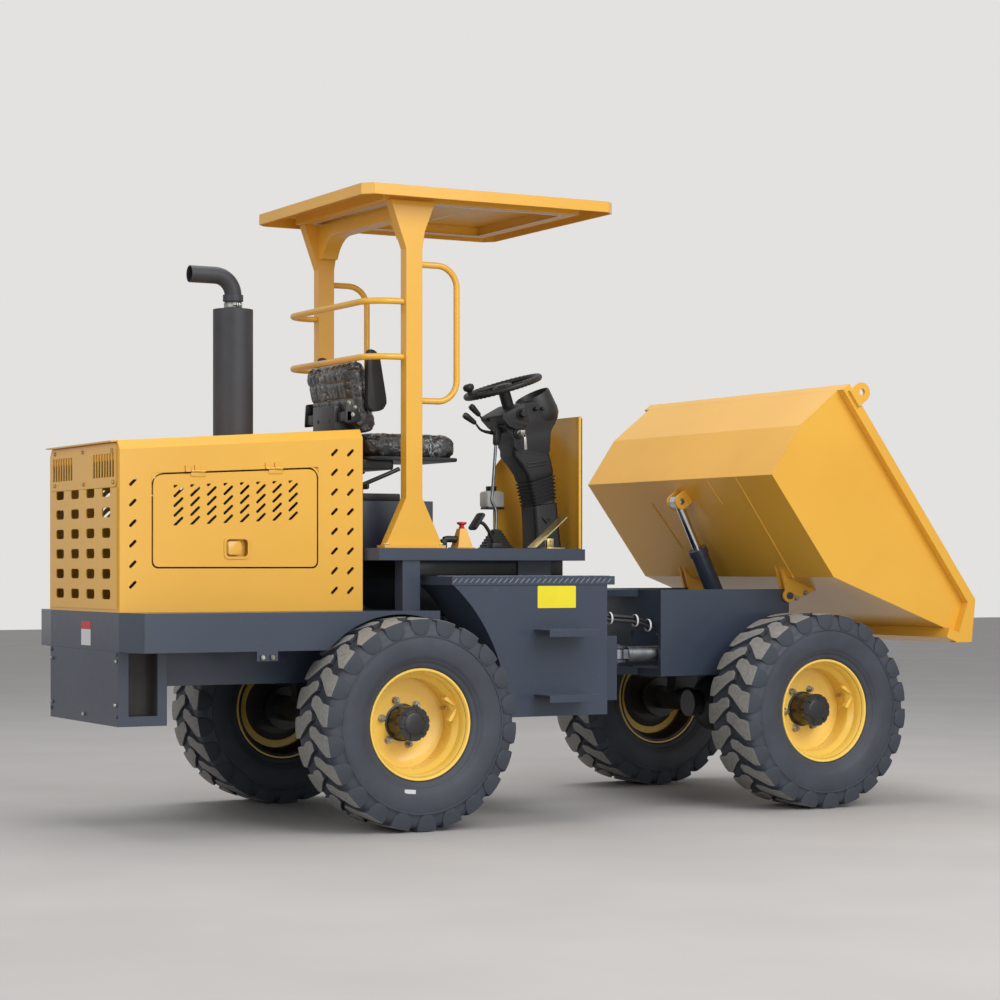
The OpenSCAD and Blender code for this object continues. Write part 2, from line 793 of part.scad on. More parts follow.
module front_guard() {
    z1 = 1692;
    z0 = floor_z - floor_t;
    t = 6;
    x0 = floor_x1;
    x1 = floor_x1 + 200;
    y = 160;
    color(yellow) from_axle() difference() {
        translate([0, 0, z0]) linear_extrude(z1 - z0) polygon([
            [x0, -420], [x0, -y], [x1, -y], [x1, y], [x0, y], [x0, 380], [x0 + t, 380],
            [x0 + t, y + t], [x1 + t, y + t], [x1 + t, -y - t], [x0 + t, -y - t], [x0 + t, -420]
        ]);
        translate([x0 - 40, 380, 1444]) rotate([-45, 0, 0])
            translate([0, -500, 0]) cube([120, 600, 600]);
    }
}

module pedal(x, y, l, w) {
    translate([x, y, floor_z]) {
        block([0, -8, 0], [16, 8, 60 + l / 2 * tan(35) + 12]);
        translate([-l / 2, -w / 2, 60]) rotate([0, -35, 0]) cube([l, w, 12]);
    }
}

module floor_controls() {
    color(black) from_axle() {
        // Gear lever with its boot.
        translate([770, 0, floor_z]) cylinder(d1 = 104, d2 = 40, h = 84);
        bar([[770, 0, floor_z + 80], [764, 0, floor_z + 180], [782, 0, floor_z + 350]], 14);
        translate([782, 0, floor_z + 340]) cylinder(d = 34, h = 84);
        pedal(690, -110, 70, 60);
        pedal(880, -250, 100, 70);
        // Emergency stop on its foot.
        translate([430, -350, floor_z]) {
            intersection() {
                side_plate(-50, 100) polygon([[-46, 0], [46, 0], [24, 72], [-24, 72]]);
                cross_plate(-50, 100) polygon([[-46, 0], [46, 0], [24, 72], [-24, 72]]);
            }
            translate([0, 0, 71]) cylinder(d = 40, h = 28);
        }
    }
}

module reservoir() {
    color("white") from_axle(floor_x1 - 60, 262, 1313) {
        cylinder(d = 108, h = 72);
        cylinder(d = 44, h = 88);
        block([0, -30, -8], [60, 30, e]);
    }
}

module front_plate_shape() {
    translate([front_x0, front_z0]) square([hinge_x + 10 - front_x0, front_z1 - front_z0]);
    translate([hinge_x, hinge_z]) circle(r = front_z1 - hinge_z);
}

module front_chassis() {
    ear_y = 52;
    color(slate) from_axle() {
        both_sides() side_plate(inner_y, frame_t) front_plate_shape();
        difference() {
            block([front_x0, -inner_y - 1, front_z0], [front_x0 + frame_t, inner_y + 1, front_z1]);
            block([front_x0 - e, -steer_y - 50, 600], [front_x0 + 100, -steer_y + 180, 760]);
        }
        both_sides() block([1960, ear_y + 2, front_z0], [1960 + frame_t, inner_y + 1, 800]);
        block([front_x0, -inner_y - 1, front_z0], [1960 + frame_t, inner_y + 1, front_z0 + frame_t]);
        for (z = [front_z0, front_z1 - 32]) difference() {
            union() {
                translate([0, 0, z]) linear_extrude(32) polygon([
                    [pivot_x, -65], [front_x0 + 10, -220], [front_x0 + 10, 220], [pivot_x, 65]
                ]);
                translate([pivot_x, 0, z]) cylinder(d = 130, h = 32);
            }
            translate([pivot_x, 0, z - e]) cylinder(d = pivot_d + 2 * run_fit, h = 40);
        }
        // Ears of the tipping cylinder with its lower pin.
        both_sides() side_plate(ear_y, 14) {
            translate(tip_base) circle(d = 90);
            translate([1962, front_z0]) square([tip_base[0] - 1962, tip_base[1] + 45 - front_z0]);
        }
        translate([tip_base[0], 0, tip_base[1]]) rod_y(36, -ear_y - 14, ear_y + 14);
        // Bracket of the steering cylinder's rod.
        for (z = [630, 690]) block([1750, -inner_y - 1, z], [1830, -steer_y + 30, z + 12]);
        both_sides() translate([hinge_x, 0, hinge_z]) rod_y(hinge_d, inner_y - 30, inner_y + frame_t + 28);
    }
}

// Moves the lowered skip's own frame to the tipped place.
module skip_place() {
    from_axle(hinge_x, 0, hinge_z) rotate([0, tip, 0]) translate([skip_u, 0, skip_v]) children();
}

module skip_shell() {
    half = skip_w / 2;
    color(yellow) skip_place() difference() {
        side_plate(-half, skip_w) polygon([
            [0, 0], skip_rear_fold, skip_rear_top, skip_front_top, skip_lip, [skip_bottom, 0]
        ]);
        side_plate(-half + skip_t, skip_w - 2 * skip_t) polygon([
            [skip_t, skip_t], skip_rear_fold + [skip_t + 1, 0], skip_rear_top + [skip_t, 10],
            skip_front_top + [0, 10], skip_front_top, skip_lip + [-4, skip_t + 2], [skip_bottom - 2, skip_t]
        ]);
    }
}

module skip_rim() {
    half = skip_w / 2;
    w = rim_tube_w;
    nose = skip_front_top + [nose_u, rim_tube_h];
    eye = lift_eye;
    color(yellow) skip_place() {
        both_sides() {
            block([skip_rear_top[0], -half - w, skip_h], [nose[0], -half + skip_t, nose[1]]);
            side_plate(-half - w, w) polygon([
                skip_front_top, nose, nose + lip_drop, skip_lip + [14, -50], skip_lip + [-8, -10]
            ]);
        }
        block([skip_rear_top[0], -half, skip_h], [skip_rear_top[0] + 40, half, nose[1]]);
        // Stiffener under the front plate's edge.
        side_plate(-half - w, skip_w + 2 * w) translate(0.1 * lip_out) polygon([
            skip_lip, skip_lip - 70 * lip_dir, skip_lip - 70 * lip_dir + 45 * lip_out, skip_lip + 45 * lip_out
        ]);
        // Ears for lifting.
        both_sides() side_plate(-half - w - 14, 15) difference() {
            union() {
                translate(eye) circle(r = 42);
                translate(eye - [42, 50]) square([84, 50]);
            }
            translate(eye) circle(d = 30);
        }
    }
}

module skip_brackets() {
    px = -skip_u;
    pz = -skip_v;
    color(yellow) skip_place() {
        both_sides() for (y = [inner_y - 18, inner_y + frame_t + 6]) side_plate(y, 12) difference() {
            union() {
                polygon([
                    [skip_bottom - 60, 0], [px - 30, pz], [px + 30, pz],
                    [skip_bottom, 0] + 170 * lip_dir, [skip_bottom, 0]
                ]);
                translate([px, pz]) circle(r = 30);
            }
            translate([px, pz]) circle(d = hinge_d + 2 * run_fit);
        }
        // Clevis of the tipping cylinder.
        both_sides() side_plate(26, 12) difference() {
            union() {
                translate(clevis) circle(d = 70);
                translate([clevis[0] - 35, clevis[1]]) square([70, -clevis[1]]);
            }
            translate(clevis) circle(d = 30);
        }
    }
}

// The tipping cylinder's ends, from the rear axle, and its length.
tip_base = [2070, 624];
tip_eye = on_skip(clevis);
tip_run = tip_eye - tip_base;
tip_l = norm(tip_run);
tip_angle = atan2(tip_run[0], tip_run[1]);

module tip_cylinder_place() {
    from_axle(tip_base[0], 0, tip_base[1]) rotate([0, tip_angle, 0]) children();
}

module tip_barrel() {
    color(slate) tip_cylinder_place() difference() {
        union() {
            rotate([90, 0, 0]) cylinder(d = 70, h = 100, center = true);
            translate([0, 0, 30]) cylinder(d = tip_cyl_d, h = 520);
            translate([0, 0, 530]) cylinder(d = tip_cyl_d + 10, h = 30);
        }
        rotate([90, 0, 0]) cylinder(d = 36 + 2 * run_fit, h = 110, center = true);
        translate([0, 0, 60]) cylinder(d = tip_rod_d + 2 * run_fit, h = 600);
    }
}

module tip_rod() {
    color(steel) tip_cylinder_place() difference() {
        union() {
            translate([0, 0, 300]) cylinder(d = tip_rod_d, h = tip_l - 300);
            translate([0, 0, tip_l]) rotate([90, 0, 0]) cylinder(d = 64, h = 40, center = true);
        }
        translate([0, 0, tip_l]) rotate([90, 0, 0]) cylinder(d = 30.2, h = 50, center = true);
    }
}

module steer_cylinder_place() {
    from_axle(pivot_x - 10, -steer_y, 666) children();
}

steer_l = 590;

module steer_barrel() {
    color(slate) steer_cylinder_place() difference() {
        union() {
            cylinder(d = 60, h = 40, center = true);
            block([0, -24, -20], [50, 24, 20]);
            translate([44, 0, 0]) rotate([0, 90, 0]) cylinder(d = steer_cyl_d, h = 346);
        }
        cylinder(d = 30 + 2 * run_fit, h = 50, center = true);
        translate([60, 0, 0]) rotate([0, 90, 0]) cylinder(d = steer_rod_d + 2 * run_fit, h = 400);
    }
}

module steer_rod() {
    color(steel) steer_cylinder_place() difference() {
        union() {
            translate([200, 0, 0]) rotate([0, 90, 0]) cylinder(d = steer_rod_d, h = steer_l - 200);
            translate([steer_l, 0, 0]) cylinder(d = 60, h = 36, center = true);
        }
        translate([steer_l, 0, 0]) cylinder(d = 30, h = 50, center = true);
    }
}

module tyre_rr() { color(black) wheel_place(false, false) tyre(); }
module tyre_rl() { color(black) wheel_place(false, true) tyre(); }
module tyre_fr() { color(black) wheel_place(true, false) tyre(); }
module tyre_fl() { color(black) wheel_place(true, true) tyre(); }
module rim_rr() { color("orange") wheel_place(false, false) rim(); }
module rim_rl() { color("orange") wheel_place(false, true) rim(); }
module rim_fr() { color("orange") wheel_place(true, false) rim(); }
module rim_fl() { color("orange") wheel_place(true, true) rim(); }

rear_chassis();
rear_box();
hood_shell();
hood_grille();
vent_plate();
door_right();
door_left();
engine_block();
drive_line();
rear_axle();
front_axle();
muffler();
platform();
tank_right();
tank_left();
canopy_frame();
canopy_roof();
hand_rails();
seat_base();
seat_cushion();
seat_back();
armrests();
steering_column();
dash_pod();
steering_wheel();
front_guard();
floor_controls();
reservoir();
front_chassis();
pivot_pin();
steer_barrel();
steer_rod();
skip_shell();
skip_rim();
skip_brackets();
tip_barrel();
tip_rod();
tyre_rr();
tyre_rl();
tyre_fr();
tyre_fl();
rim_rr();
rim_rl();
rim_fr();
rim_fl();
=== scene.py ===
"""Looks of the compact dump truck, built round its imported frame. Lengths are millimetres until place() turns them to metres."""
import json
import math

import bmesh
import bpy
import numpy as np
from mathutils import Euler, Matrix, Vector, noise


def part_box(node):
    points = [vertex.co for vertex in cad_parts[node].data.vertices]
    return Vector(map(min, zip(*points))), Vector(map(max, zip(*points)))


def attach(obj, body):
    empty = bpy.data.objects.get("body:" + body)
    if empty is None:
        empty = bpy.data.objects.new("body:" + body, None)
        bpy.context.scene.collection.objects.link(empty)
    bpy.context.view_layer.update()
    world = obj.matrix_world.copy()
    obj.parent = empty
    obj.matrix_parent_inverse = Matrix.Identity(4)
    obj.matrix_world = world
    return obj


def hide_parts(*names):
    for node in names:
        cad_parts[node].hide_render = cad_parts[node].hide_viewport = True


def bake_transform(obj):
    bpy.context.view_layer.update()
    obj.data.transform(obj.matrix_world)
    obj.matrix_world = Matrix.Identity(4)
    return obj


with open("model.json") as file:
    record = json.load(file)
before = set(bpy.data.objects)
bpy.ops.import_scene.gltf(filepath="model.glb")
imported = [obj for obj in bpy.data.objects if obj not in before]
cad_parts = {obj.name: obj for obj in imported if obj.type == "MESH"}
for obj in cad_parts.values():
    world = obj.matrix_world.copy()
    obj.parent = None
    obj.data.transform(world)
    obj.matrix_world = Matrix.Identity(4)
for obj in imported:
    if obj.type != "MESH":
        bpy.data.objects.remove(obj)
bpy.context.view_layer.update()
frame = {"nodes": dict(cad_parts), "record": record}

# The rear axle's place along X, to which all lengths forward are taken.
tyre_low, tyre_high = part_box("tyre_rr")
AXLE_X = (tyre_low.x + tyre_high.x) * 500
WHEELBASE = 1960
HALF_TRACK = 665
WHEEL_Z = 422.5
TIP = math.radians(53.4)
HINGE = (2040, 915)


def place(x, y, z):
    """A point forward of the rear axle, to the left and up, in mm, as the frame's metres."""
    return Vector(((AXLE_X + x) / 1000, y / 1000, z / 1000))


def on_skip(u, y, v):
    """A point of the lowered skip's own frame, turned to where the tipped skip holds it."""
    du, dv = u - 624, v + 39
    x = du * math.cos(TIP) + dv * math.sin(TIP) + HINGE[0]
    return place(x, y, -du * math.sin(TIP) + dv * math.cos(TIP) + HINGE[1])


def skip_mm(u, y, v):
    """The same point in mm from the rear axle."""
    return (on_skip(u, y, v) - place(0, 0, 0)) * 1000


def skin(node, spot, way):
    """Where a line from spot along way first meets a CAD node, in mm from the rear axle."""
    found, point, _, _ = frame["nodes"][node].ray_cast(place(*spot), Vector(way))
    if not found:
        raise ValueError("no face of %s ahead of %s" % (node, spot))
    return (point - place(0, 0, 0)) * 1000


# Camera: a 89 mm lens at eye height, level, shifted up as the photograph is.
CAMERA_YAW = math.radians(28.888)
lens = bpy.data.cameras.new("photo_camera")
lens.lens = 88.97
lens.sensor_width = 36
lens.shift_y = 0.0662
lens.clip_end = 200
camera = bpy.data.objects.new("photo_camera", lens)
camera.location = place(-4432.2, -9468.5, 1047)
camera.rotation_euler = (math.pi / 2, 0, -CAMERA_YAW)
bpy.context.scene.collection.objects.link(camera)
bpy.context.scene.camera = camera


# Materials


def linear(code):
    """An sRGB hex colour as linear red, green, blue and alpha."""
    parts = [int(code[i:i + 2], 16) / 255 for i in (1, 3, 5)]
    return [c / 12.92 if c <= 0.04045 else ((c + 0.055) / 1.055) ** 2.4 for c in parts] + [1]


def add(tree, kind, inputs=None, **settings):
    """Adds one node with its settings, and links or sets its inputs."""
    made = tree.nodes.new(kind)
    for name, value in settings.items():
        setattr(made, name, value)
    for name, value in (inputs or {}).items():
        if isinstance(value, bpy.types.NodeSocket):
            tree.links.new(value, made.inputs[name])
        else:
            made.inputs[name].default_value = value
    return made


def new_material(name, **shader):
    """A material with one Principled shader whose plain sockets are set here."""
    made = bpy.data.materials.new(name)
    made.use_nodes = True
    tree = made.node_tree
    tree.nodes.clear()
    surface = add(tree, "ShaderNodeBsdfPrincipled", shader)
    add(tree, "ShaderNodeOutputMaterial", {"Surface": surface.outputs["BSDF"]})
    return made, tree, surface


def ramp(tree, value, stops):
    """A colour ramp through (place, hex colour) stops."""
    made = add(tree, "ShaderNodeValToRGB", {"Fac": value})
    line = made.color_ramp.elements
    while len(line) < len(stops):
        line.new(0.5)
    for stop, (at, code) in zip(line, stops):
        stop.position = at
        stop.color = linear(code)
    return made.outputs["Color"]


def sprayed_enamel(name, colour, shade, dust, roughness=0.3, peel=0.12, wear=None, dusty=0.25):
    """Gloss enamel sprayed on sheet steel: orange peel of about 3 mm, a cloudy coat, dust on what faces up."""
    made, tree, surface = new_material(name, **{"IOR": 1.5, "Coat Weight": 0.25, "Coat Roughness": 0.12})
    spot = add(tree, "ShaderNodeTexCoord").outputs["Object"]
    clouds = add(tree, "ShaderNodeTexNoise", {"Vector": spot, "Scale": 1.7, "Detail": 3.0})
    coat = ramp(tree, clouds.outputs["Fac"], [(0.3, shade), (0.62, colour)])
    facing = add(tree, "ShaderNodeNewGeometry")
    up = add(tree, "ShaderNodeSeparateXYZ", {"Vector": facing.outputs["Normal"]}).outputs["Z"]
    grit = add(tree, "ShaderNodeTexNoise", {"Vector": spot, "Scale": 38.0, "Detail": 6.0, "Roughness": 0.7})
    settled = add(tree, "ShaderNodeMath", {0: up, 1: grit.outputs["Fac"]}, operation="MULTIPLY")
    film = add(tree, "ShaderNodeMapRange", {"Value": settled.outputs[0], "From Min": 0.3, "From Max": 0.75,
                                            "To Min": 0.0, "To Max": dusty})
    mixed = add(tree, "ShaderNodeMix", data_type="RGBA")
    tree.links.new(film.outputs[0], mixed.inputs[0])
    tree.links.new(coat, mixed.inputs[6])
    mixed.inputs[7].default_value = linear(dust)
    top = mixed.outputs[2]
    soft = add(tree, "ShaderNodeBevel", {"Radius": 0.003}, samples=3)
    if wear:
        rub = add(tree, "ShaderNodeVectorMath", {0: soft.outputs["Normal"], 1: facing.outputs["Normal"]},
                  operation="DOT_PRODUCT")
        chips = add(tree, "ShaderNodeTexNoise", {"Vector": spot, "Scale": 55.0, "Detail": 4.0})
        near = add(tree, "ShaderNodeMath", {0: rub.outputs["Value"], 1: chips.outputs["Fac"]}, operation="ADD")
        worn = add(tree, "ShaderNodeMapRange", {"Value": near.outputs[0], "From Min": 1.30, "From Max": 1.18})
        edge = add(tree, "ShaderNodeMix", data_type="RGBA")
        tree.links.new(worn.outputs[0], edge.inputs[0])
        tree.links.new(top, edge.inputs[6])
        edge.inputs[7].default_value = linear(wear)
        top = edge.outputs[2]
    tree.links.new(top, surface.inputs["Base Color"])
    gloss = add(tree, "ShaderNodeMapRange", {"Value": grit.outputs["Fac"], "To Min": roughness - 0.05,
                                             "To Max": roughness + 0.1})
    tree.links.new(gloss.outputs[0], surface.inputs["Roughness"])
    skin = add(tree, "ShaderNodeTexNoise", {"Vector": spot, "Scale": 320.0, "Detail": 1.0})
    bumps = add(tree, "ShaderNodeBump", {"Strength": peel, "Distance": 0.0006, "Height": skin.outputs["Fac"],
                                         "Normal": soft.outputs["Normal"]})
    tree.links.new(bumps.outputs[0], surface.inputs["Normal"])
    return made


def moulded(name, colour, shade, roughness, grain, depth, **shader):
    """Moulded rubber or plastic: a fine even grain with a slow change of tone."""
    made, tree, surface = new_material(name, **{"IOR": 1.5, **shader})
    spot = add(tree, "ShaderNodeTexCoord").outputs["Object"]
    tone = add(tree, "ShaderNodeTexNoise", {"Vector": spot, "Scale": 6.0, "Detail": 5.0, "Roughness": 0.6})
    tree.links.new(ramp(tree, tone.outputs["Fac"], [(0.35, shade), (0.65, colour)]), surface.inputs["Base Color"])
    fine = add(tree, "ShaderNodeTexNoise", {"Vector": spot, "Scale": grain, "Detail": 3.0})
    gloss = add(tree, "ShaderNodeMapRange", {"Value": fine.outputs["Fac"], "To Min": roughness - 0.08,
                                             "To Max": roughness + 0.08})
    tree.links.new(gloss.outputs[0], surface.inputs["Roughness"])
    bumps = add(tree, "ShaderNodeBump", {"Strength": depth, "Distance": 0.0008, "Height": fine.outputs["Fac"]})
    tree.links.new(bumps.outputs[0], surface.inputs["Normal"])
    return made


def bare_metal(name, colour, shade, roughness, lines):
    """Plated or ground steel, with fine machining lines that stretch the highlight."""
    made, tree, surface = new_material(name, **{"Metallic": 1.0})
    spot = add(tree, "ShaderNodeTexCoord").outputs["Object"]
    blotch = add(tree, "ShaderNodeTexNoise", {"Vector": spot, "Scale": 30.0, "Detail": 4.0})
    tree.links.new(ramp(tree, blotch.outputs["Fac"], [(0.35, shade), (0.6, colour)]), surface.inputs["Base Color"])
    cut = add(tree, "ShaderNodeTexNoise", {"Vector": spot, "Scale": lines, "Detail": 2.0})
    gloss = add(tree, "ShaderNodeMapRange", {"Value": cut.outputs["Fac"], "To Min": roughness - 0.05,
                                             "To Max": roughness + 0.12})
    tree.links.new(gloss.outputs[0], surface.inputs["Roughness"])
    return made


yellow_enamel = sprayed_enamel("yellow_enamel", "#E9B03D", "#E3A937", "#D9BE8C", roughness=0.3, dusty=0.14)
grey_enamel = sprayed_enamel("grey_enamel", "#374151", "#313A4A", "#6F7378", roughness=0.34, wear="#565D68",
                             dusty=0.35)
black_enamel = sprayed_enamel("black_enamel", "#1D1E20", "#17181A", "#4A463F", roughness=0.42, dusty=0.5)
# Lighter grey for the raised tread bars: a painted highlight along them.
tread_bars_painted_highlight = sprayed_enamel("painted_highlight_tread_enamel", "#7F8794", "#6A7280", "#8D9097", roughness=0.32)
# The rims' yellow is paler than the body's: painted light that brightens the dishes, which sit in shade.
rim_enamel = sprayed_enamel("rim_enamel", "#FBD263", "#F8CB56", "#CFA766", roughness=0.26, peel=0.08, dusty=0.1)
# Dark enamel: the dials' own black, and painted shade on the rims' inner sides, in the seat bracket's holes and inside
# the rear box.
dial_black_and_painted_shade = sprayed_enamel("dial_black_and_painted_shade_enamel", "#2A2320", "#1B1817", "#3C352F", roughness=0.6, dusty=0.3)
exhaust_coat = moulded("heat_proof_coat", "#393A40", "#303136", 0.55, 420.0, 0.25)
tyre_rubber = moulded("tyre_rubber", "#3E434D", "#353942", 0.6, 260.0, 0.4)
black_abs = moulded("black_abs_plastic", "#1B1C1F", "#151619", 0.46, 900.0, 0.25)
black_rubber = moulded("bellows_rubber", "#18191B", "#131315", 0.5, 500.0, 0.3)
zinc_steel = bare_metal("zinc_plated_steel", "#B9BAB4", "#8E8C80", 0.32, 300.0)
chromed_rod = bare_metal("hard_chrome", "#D4D6DA", "#C6C9CE", 0.12, 90.0)
brass_zinc = bare_metal("yellow_zinc_plate", "#C9B784", "#A8946A", 0.35, 260.0)
stop_red = moulded("red_acetal", "#C4232B", "#B01C24", 0.35, 700.0, 0.1)
label_white = moulded("white_vinyl_label", "#D9DADB", "#CFD0D2", 0.4, 900.0, 0.05)
label_yellow = moulded("yellow_vinyl_label", "#F1E02A", "#EBD922", 0.38, 900.0, 0.05)
label_red = moulded("red_vinyl_label", "#C93A34", "#BD332E", 0.4, 900.0, 0.05)
barrel_steel = bare_metal("burnished_barrel_steel", "#8F9499", "#7C8187", 0.38, 220.0)
hose_rubber = moulded("hose_cover_rubber", "#1E2023", "#17181B", 0.42, 600.0, 0.2)
brown_hose = moulded("dusty_brown_hose", "#4B352C", "#3D2B24", 0.5, 500.0, 0.2)
milky_plastic = moulded("milky_polyethylene", "#D8D9D2", "#CDCEC6", 0.35, 500.0, 0.08,
                        **{"Transmission Weight": 0.25, "Subsurface Weight": 0.3, "Subsurface Radius": (0.01, 0.01, 0.01)})


def tread_rubber():
    """Lug rubber: the ground faces are scuffed pale, and the flanks are as dark as the carcass."""
    made, tree, surface = new_material("scuffed_tread_rubber", **{"IOR": 1.5, "Roughness": 0.75})
    spot = add(tree, "ShaderNodeTexCoord").outputs["Object"]
    ground = add(tree, "ShaderNodeAttribute", attribute_name="tread")
    scuff = add(tree, "ShaderNodeTexNoise", {"Vector": spot, "Scale": 70.0, "Detail": 6.0, "Roughness": 0.7})
    share = add(tree, "ShaderNodeMath", {0: ground.outputs["Fac"], 1: scuff.outputs["Fac"]}, operation="MULTIPLY")
    tree.links.new(ramp(tree, share.outputs[0], [(0.1, "#383D46"), (0.45, "#85837F"), (0.7, "#96938D")]),
                   surface.inputs["Base Color"])
    grain = add(tree, "ShaderNodeTexNoise", {"Vector": spot, "Scale": 240.0, "Detail": 3.0})
    rough = add(tree, "ShaderNodeBump", {"Strength": 0.5, "Distance": 0.0008, "Height": grain.outputs["Fac"]})
    tree.links.new(rough.outputs[0], surface.inputs["Normal"])
    return made


lug_rubber = tread_rubber()


def film_wrapped_vinyl():
    """Black seat vinyl under loose clear film: a dark base with a hard, creased second gloss, and pale streaks on the
    creases that paint the film's glints.
    """
    made, tree, surface = new_material("film_wrapped_vinyl", **{"IOR": 1.5, "Roughness": 0.5, "Coat Weight": 1.0,
                                                                "Coat Roughness": 0.06, "Coat IOR": 1.5})
    spot = add(tree, "ShaderNodeTexCoord").outputs["Object"]
    tone = add(tree, "ShaderNodeTexNoise", {"Vector": spot, "Scale": 9.0, "Detail": 3.0})
    base = ramp(tree, tone.outputs["Fac"], [(0.3, "#131416"), (0.7, "#1F2023")])
    sway = add(tree, "ShaderNodeTexNoise", {"Vector": spot, "Scale": 5.0, "Detail": 3.0})
    pulled = add(tree, "ShaderNodeVectorMath", {0: spot, 1: sway.outputs["Color"]}, operation="ADD")
    creases = add(tree, "ShaderNodeTexNoise", {"Vector": pulled.outputs[0], "Scale": 7.0, "Detail": 2.5,
                                               "Roughness": 0.5, "Distortion": 1.2})
    ridge = add(tree, "ShaderNodeMath", {0: creases.outputs["Fac"], 1: 0.5}, operation="SUBTRACT")
    sharp = add(tree, "ShaderNodeMath", {0: ridge.outputs[0]}, operation="ABSOLUTE")
    film = add(tree, "ShaderNodeBump", {"Strength": 1.0, "Distance": 0.02, "Height": sharp.outputs[0]})
    tree.links.new(film.outputs[0], surface.inputs["Coat Normal"])
    # Pale streaks along the sharpest creases, where the tone runs high: painted glints of the film.
    drawn = add(tree, "ShaderNodeMapRange", {"Value": sharp.outputs[0], "From Min": 0.022, "From Max": 0.004,
                                             "To Min": 0.0, "To Max": 1.0})
    where = add(tree, "ShaderNodeMapRange", {"Value": tone.outputs["Fac"], "From Min": 0.5, "From Max": 0.62})
    glint = add(tree, "ShaderNodeMath", {0: drawn.outputs[0], 1: where.outputs[0]}, operation="MULTIPLY")
    painted_glints = add(tree, "ShaderNodeMix", data_type="RGBA")
    tree.links.new(glint.outputs[0], painted_glints.inputs[0])
    tree.links.new(base, painted_glints.inputs[6])
    painted_glints.inputs[7].default_value = linear("#B9BCC2")
    tree.links.new(painted_glints.outputs[2], surface.inputs["Base Color"])
    leather = add(tree, "ShaderNodeTexNoise", {"Vector": spot, "Scale": 700.0, "Detail": 2.0})
    grain = add(tree, "ShaderNodeBump", {"Strength": 0.3, "Distance": 0.001, "Height": leather.outputs["Fac"]})
    tree.links.new(grain.outputs[0], surface.inputs["Normal"])
    return made


seat_vinyl = film_wrapped_vinyl()

FINISHES = {
    "yellow_paint": yellow_enamel, "grey_paint": grey_enamel, "black_casting": black_enamel,
    "exhaust_steel": exhaust_coat, "seat_vinyl": seat_vinyl, "black_plastic": black_abs,
    "clear_plastic": milky_plastic, "rod_chrome": chromed_rod, "tyre_rubber": tyre_rubber,
    "rim_paint": rim_enamel,
}
for part in frame["record"]["subparts"]:
    node_object = frame["nodes"][part["node"]]
    node_object.data.materials.clear()
    node_object.data.materials.append(FINISHES[part["material_slot"]])
frame["nodes"]["steer_barrel"].data.materials[0] = barrel_steel


# Shapes


def finished(name, shape, material, body, smooth=math.radians(40)):
    """Makes a mesh object of a bmesh given in mm from the rear axle, sets its finish and lets it ride."""
    bmesh.ops.remove_doubles(shape, verts=shape.verts, dist=0.01)
    bmesh.ops.recalc_face_normals(shape, faces=shape.faces)
    for v in shape.verts:
        v.co = place(*v.co)
    for f in shape.faces:
        f.smooth = bool(smooth)
    if smooth:
        for e in shape.edges:
            if len(e.link_faces) == 2 and e.calc_face_angle(0) > smooth:
                e.smooth = False
    mesh = bpy.data.meshes.new(name)
    shape.to_mesh(mesh)
    shape.free()
    mesh.materials.append(material)
    made = bpy.data.objects.new(name, mesh)
    bpy.context.scene.collection.objects.link(made)
    if body:
        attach(made, body)
    return made


def add_loops(shape, loops, closed=True, capped=True):
    """Skins a list of point loops of equal length, and caps the two ends."""
    rings = [[shape.verts.new(p) for p in loop] for loop in loops]
    count = len(rings[0])
    spans = zip(rings, rings[1:] + ([rings[0]] if closed == "ring" else []))
    for one, two in spans:
        for i in range(count if closed else count - 1):
            j = (i + 1) % count
            shape.faces.new((one[i], one[j], two[j], two[i]))
    if capped and closed != "ring":
        shape.faces.new(rings[0][::-1])
        shape.faces.new(rings[-1])
    return rings


def add_lathe(shape, profile, centre, axis="Y", steps=64, closed=False):
    """Turns (radius, along) points about an axis through centre."""
    loops = []
    for r, a in profile:
        loop = []
        for i in range(steps):
            t = 2 * math.pi * i / steps
            c, s = r * math.cos(t), r * math.sin(t)
            p = {"X": (a, c, s), "Y": (s, a, c), "Z": (c, s, a)}[axis]
            loop.append(Vector(p) + Vector(centre))
        loops.append(loop)
    add_loops(shape, loops, closed="ring" if closed else True)


def smooth_path(points, steps):
    """A Catmull-Rom line through the points."""
    pts = [Vector(p) for p in points]
    pts = [2 * pts[0] - pts[1]] + pts + [2 * pts[-1] - pts[-2]]
    line = []
    for i in range(1, len(pts) - 2):
        a, b, c, d = pts[i - 1:i + 3]
        for k in range(steps):
            t = k / steps
            line.append(0.5 * (2 * b + (c - a) * t + (2 * a - 5 * b + 4 * c - d) * t * t
                               + (3 * b - a - 3 * c + d) * t ** 3))
    return line + [pts[-2]]


def add_tube(shape, points, radius, sides=12, steps=6):
    """A round tube along a smooth path; radius may be a list, one for each given point."""
    line = smooth_path(points, steps)
    side = Vector((0, 0, 1))
    loops = []
    for i, p in enumerate(line):
        ahead = (line[min(i + 1, len(line) - 1)] - line[max(i - 1, 0)]).normalized()
        side = (side - ahead * side.dot(ahead))
        side = side.normalized() if side.length > 1e-3 else ahead.orthogonal().normalized()
        across = ahead.cross(side)
        r = np.interp(i / steps, range(len(points)), radius) if isinstance(radius, (list, tuple)) else radius
        loops.append([p + (side * math.cos(t) + across * math.sin(t)) * r
                      for t in (2 * math.pi * k / sides for k in range(sides))])
    add_loops(shape, loops)


